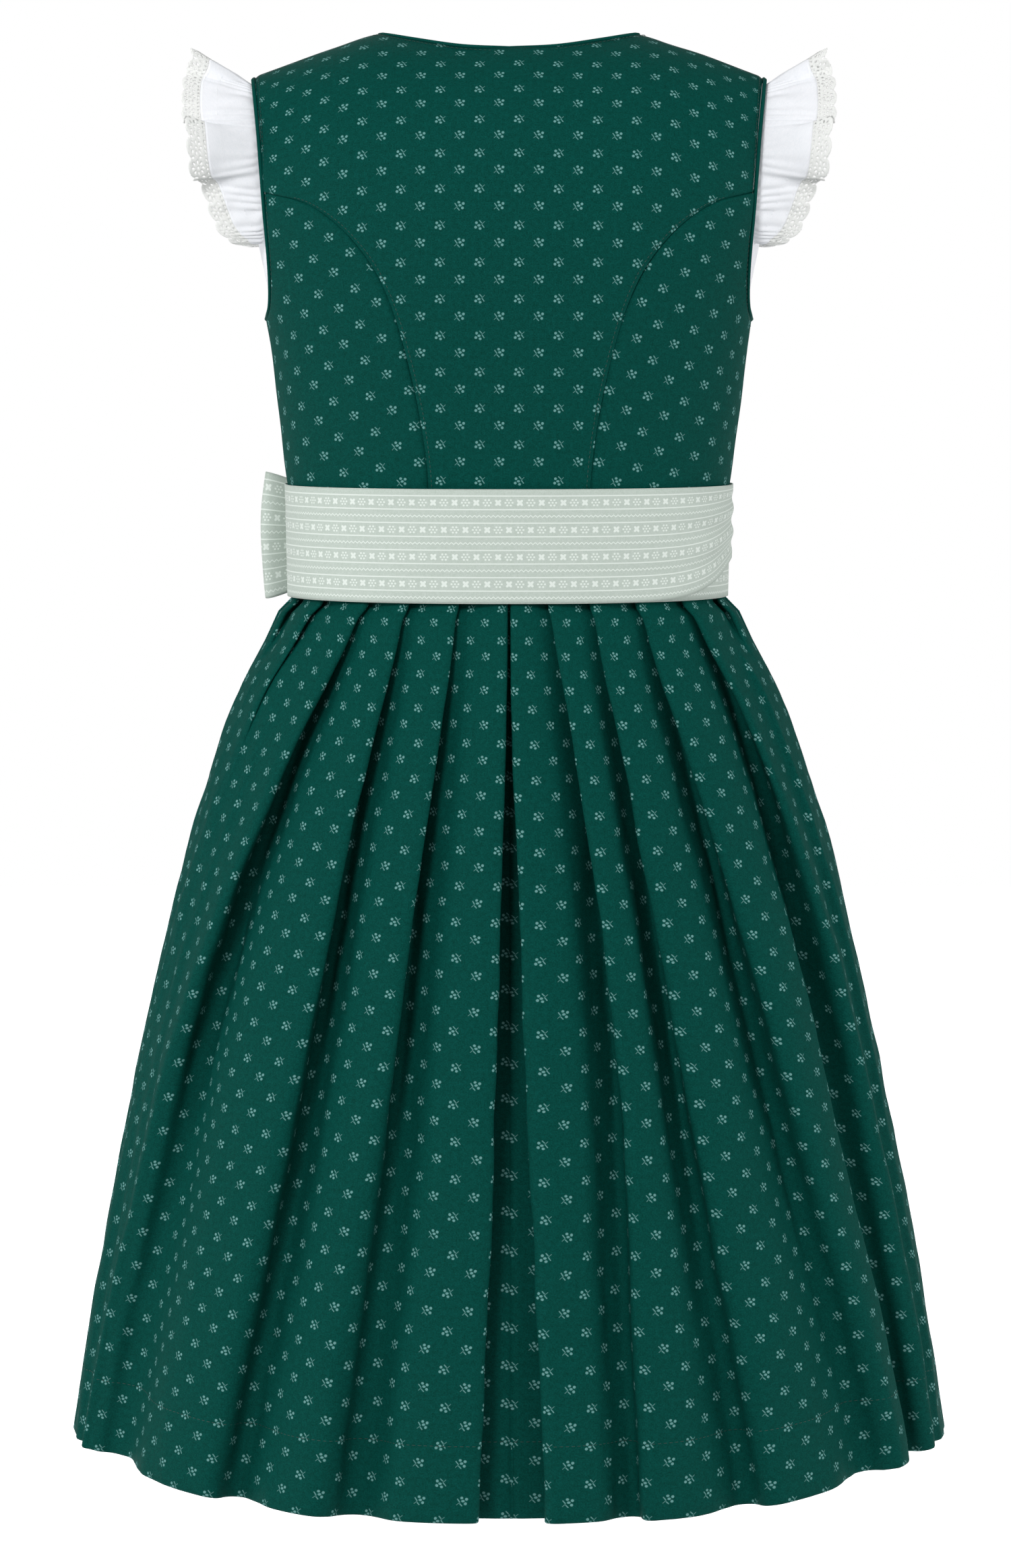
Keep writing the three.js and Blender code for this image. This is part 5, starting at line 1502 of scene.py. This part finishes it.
def buttons():
    model = makeButton()
    for k, z in enumerate(buttonSettings["heights"]):
        seat, normal = bodyPoint(0.0, z, "front"), bodyNormal(np.array(0.0), np.array(float(z)), "front")
        obj = model.copy()
        obj.data = model.data.copy()
        obj.name = f"horn_button_{k + 1}"
        bpy.context.collection.objects.link(obj)
        turn = Vector((0, 0, 1)).rotation_difference(Vector(normal)).to_matrix().to_4x4()
        turn.translation = Vector((seat + normal * 0.9) * mm)
        obj.data.transform(turn)
        obj.data.materials.clear()
        obj.data.materials.append(hornButton)
        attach(obj, "root")
        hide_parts(f"button_{k + 1}")
    bpy.data.objects.remove(model)


buttons()
print("buttons sewn on")

# what each cloth piece was cut to
centreCut, sideCut, frontCut = (0.26, 0.275, 0.68), (0.105, 0.19, 0.89), (0.16, 0.27, 0.74)
cuts = [centreCut, sideCut, sideCut, frontCut, frontCut]
bodicePieces = [(*piece, cut) for piece, cut in zip(backPieces + frontPieces, cuts)]
declareSheets(bodicePieces)
declareSheets(blousePieces)
declareSheets(sleevePieces)
declareSheets(skirtPieces)
declareSheets(apronPieces)
declareSheets(sashPieces)
declareSheets(bowPieces)


# floor, light and camera
stage = {"floor": -1.25, "size": 14.0, "world": 0.46, "seen": 1.0, "glow": 0.85, "key": 53.0, "fill": 9.0,
         "side": 26.0}


def setStage():
    bpy.ops.object.select_all(action="DESELECT")
    bpy.ops.mesh.primitive_plane_add(size=stage["size"], location=(0, 0, stage["floor"]))
    floor = bpy.context.object
    floor.name = "floor"
    pale = plainMaterial("floor_pale", "#F4F4F4", 0.9, 0.1)
    pale.node_tree.nodes["Principled BSDF"].inputs["Emission Color"].default_value = (1, 1, 1, 1)
    pale.node_tree.nodes["Principled BSDF"].inputs["Emission Strength"].default_value = stage["glow"]
    floor.data.materials.append(pale)
    floor.visible_diffuse = False  # the floor looks white but leaves the lighting to the sky and the lamps
    world = bpy.data.worlds.new("studio")
    bpy.context.scene.world = world
    world.use_nodes = True
    sky = world.node_tree.nodes["Background"]
    sky.inputs["Color"].default_value = (1, 1, 1, 1)
    path = world.node_tree.nodes.new("ShaderNodeLightPath")
    strength = world.node_tree.nodes.new("ShaderNodeMapRange")
    strength.inputs["To Min"].default_value = stage["world"]
    strength.inputs["To Max"].default_value = stage["seen"]
    world.node_tree.links.new(path.outputs["Is Camera Ray"], strength.inputs["Value"])
    world.node_tree.links.new(strength.outputs[0], sky.inputs["Strength"])
    for name, place, size, watts in (("key", (1.2, 2.7, 1.3), 0.9, stage["key"]),
                                     ("fill", (-1.6, 2.4, 0.5), 1.6, stage["fill"]),
                                     ("rear", (0.5, -2.6, 1.2), 1.8, stage["fill"]),
                                     ("side_left", (2.7, 0.7, -0.2), 1.4, stage["side"]),
                                     ("side_right", (-2.7, 0.7, -0.2), 1.4, stage["side"])):
        light = bpy.data.lights.new(name, "AREA")
        light.size, light.energy = size, watts
        obj = bpy.data.objects.new(name, light)
        bpy.context.collection.objects.link(obj)
        obj.location = place
        obj.rotation_euler = (Vector((0, 0, -0.35)) - Vector(place)).to_track_quat("-Z", "Y").to_euler()
    camera = bpy.data.cameras.new("camera")
    camera.lens, camera.sensor_width = 112.5, 36
    obj = bpy.data.objects.new("camera", camera)
    bpy.context.collection.objects.link(obj)
    obj.location = (0.0018, 2.568, -0.133)
    obj.rotation_euler = (Vector((0.0018, 0, -0.378)) - obj.location).to_track_quat("-Z", "Y").to_euler()
    bpy.context.scene.camera = obj
    bpy.context.scene.view_settings.view_transform = "Standard"


setStage()
print("stage set")
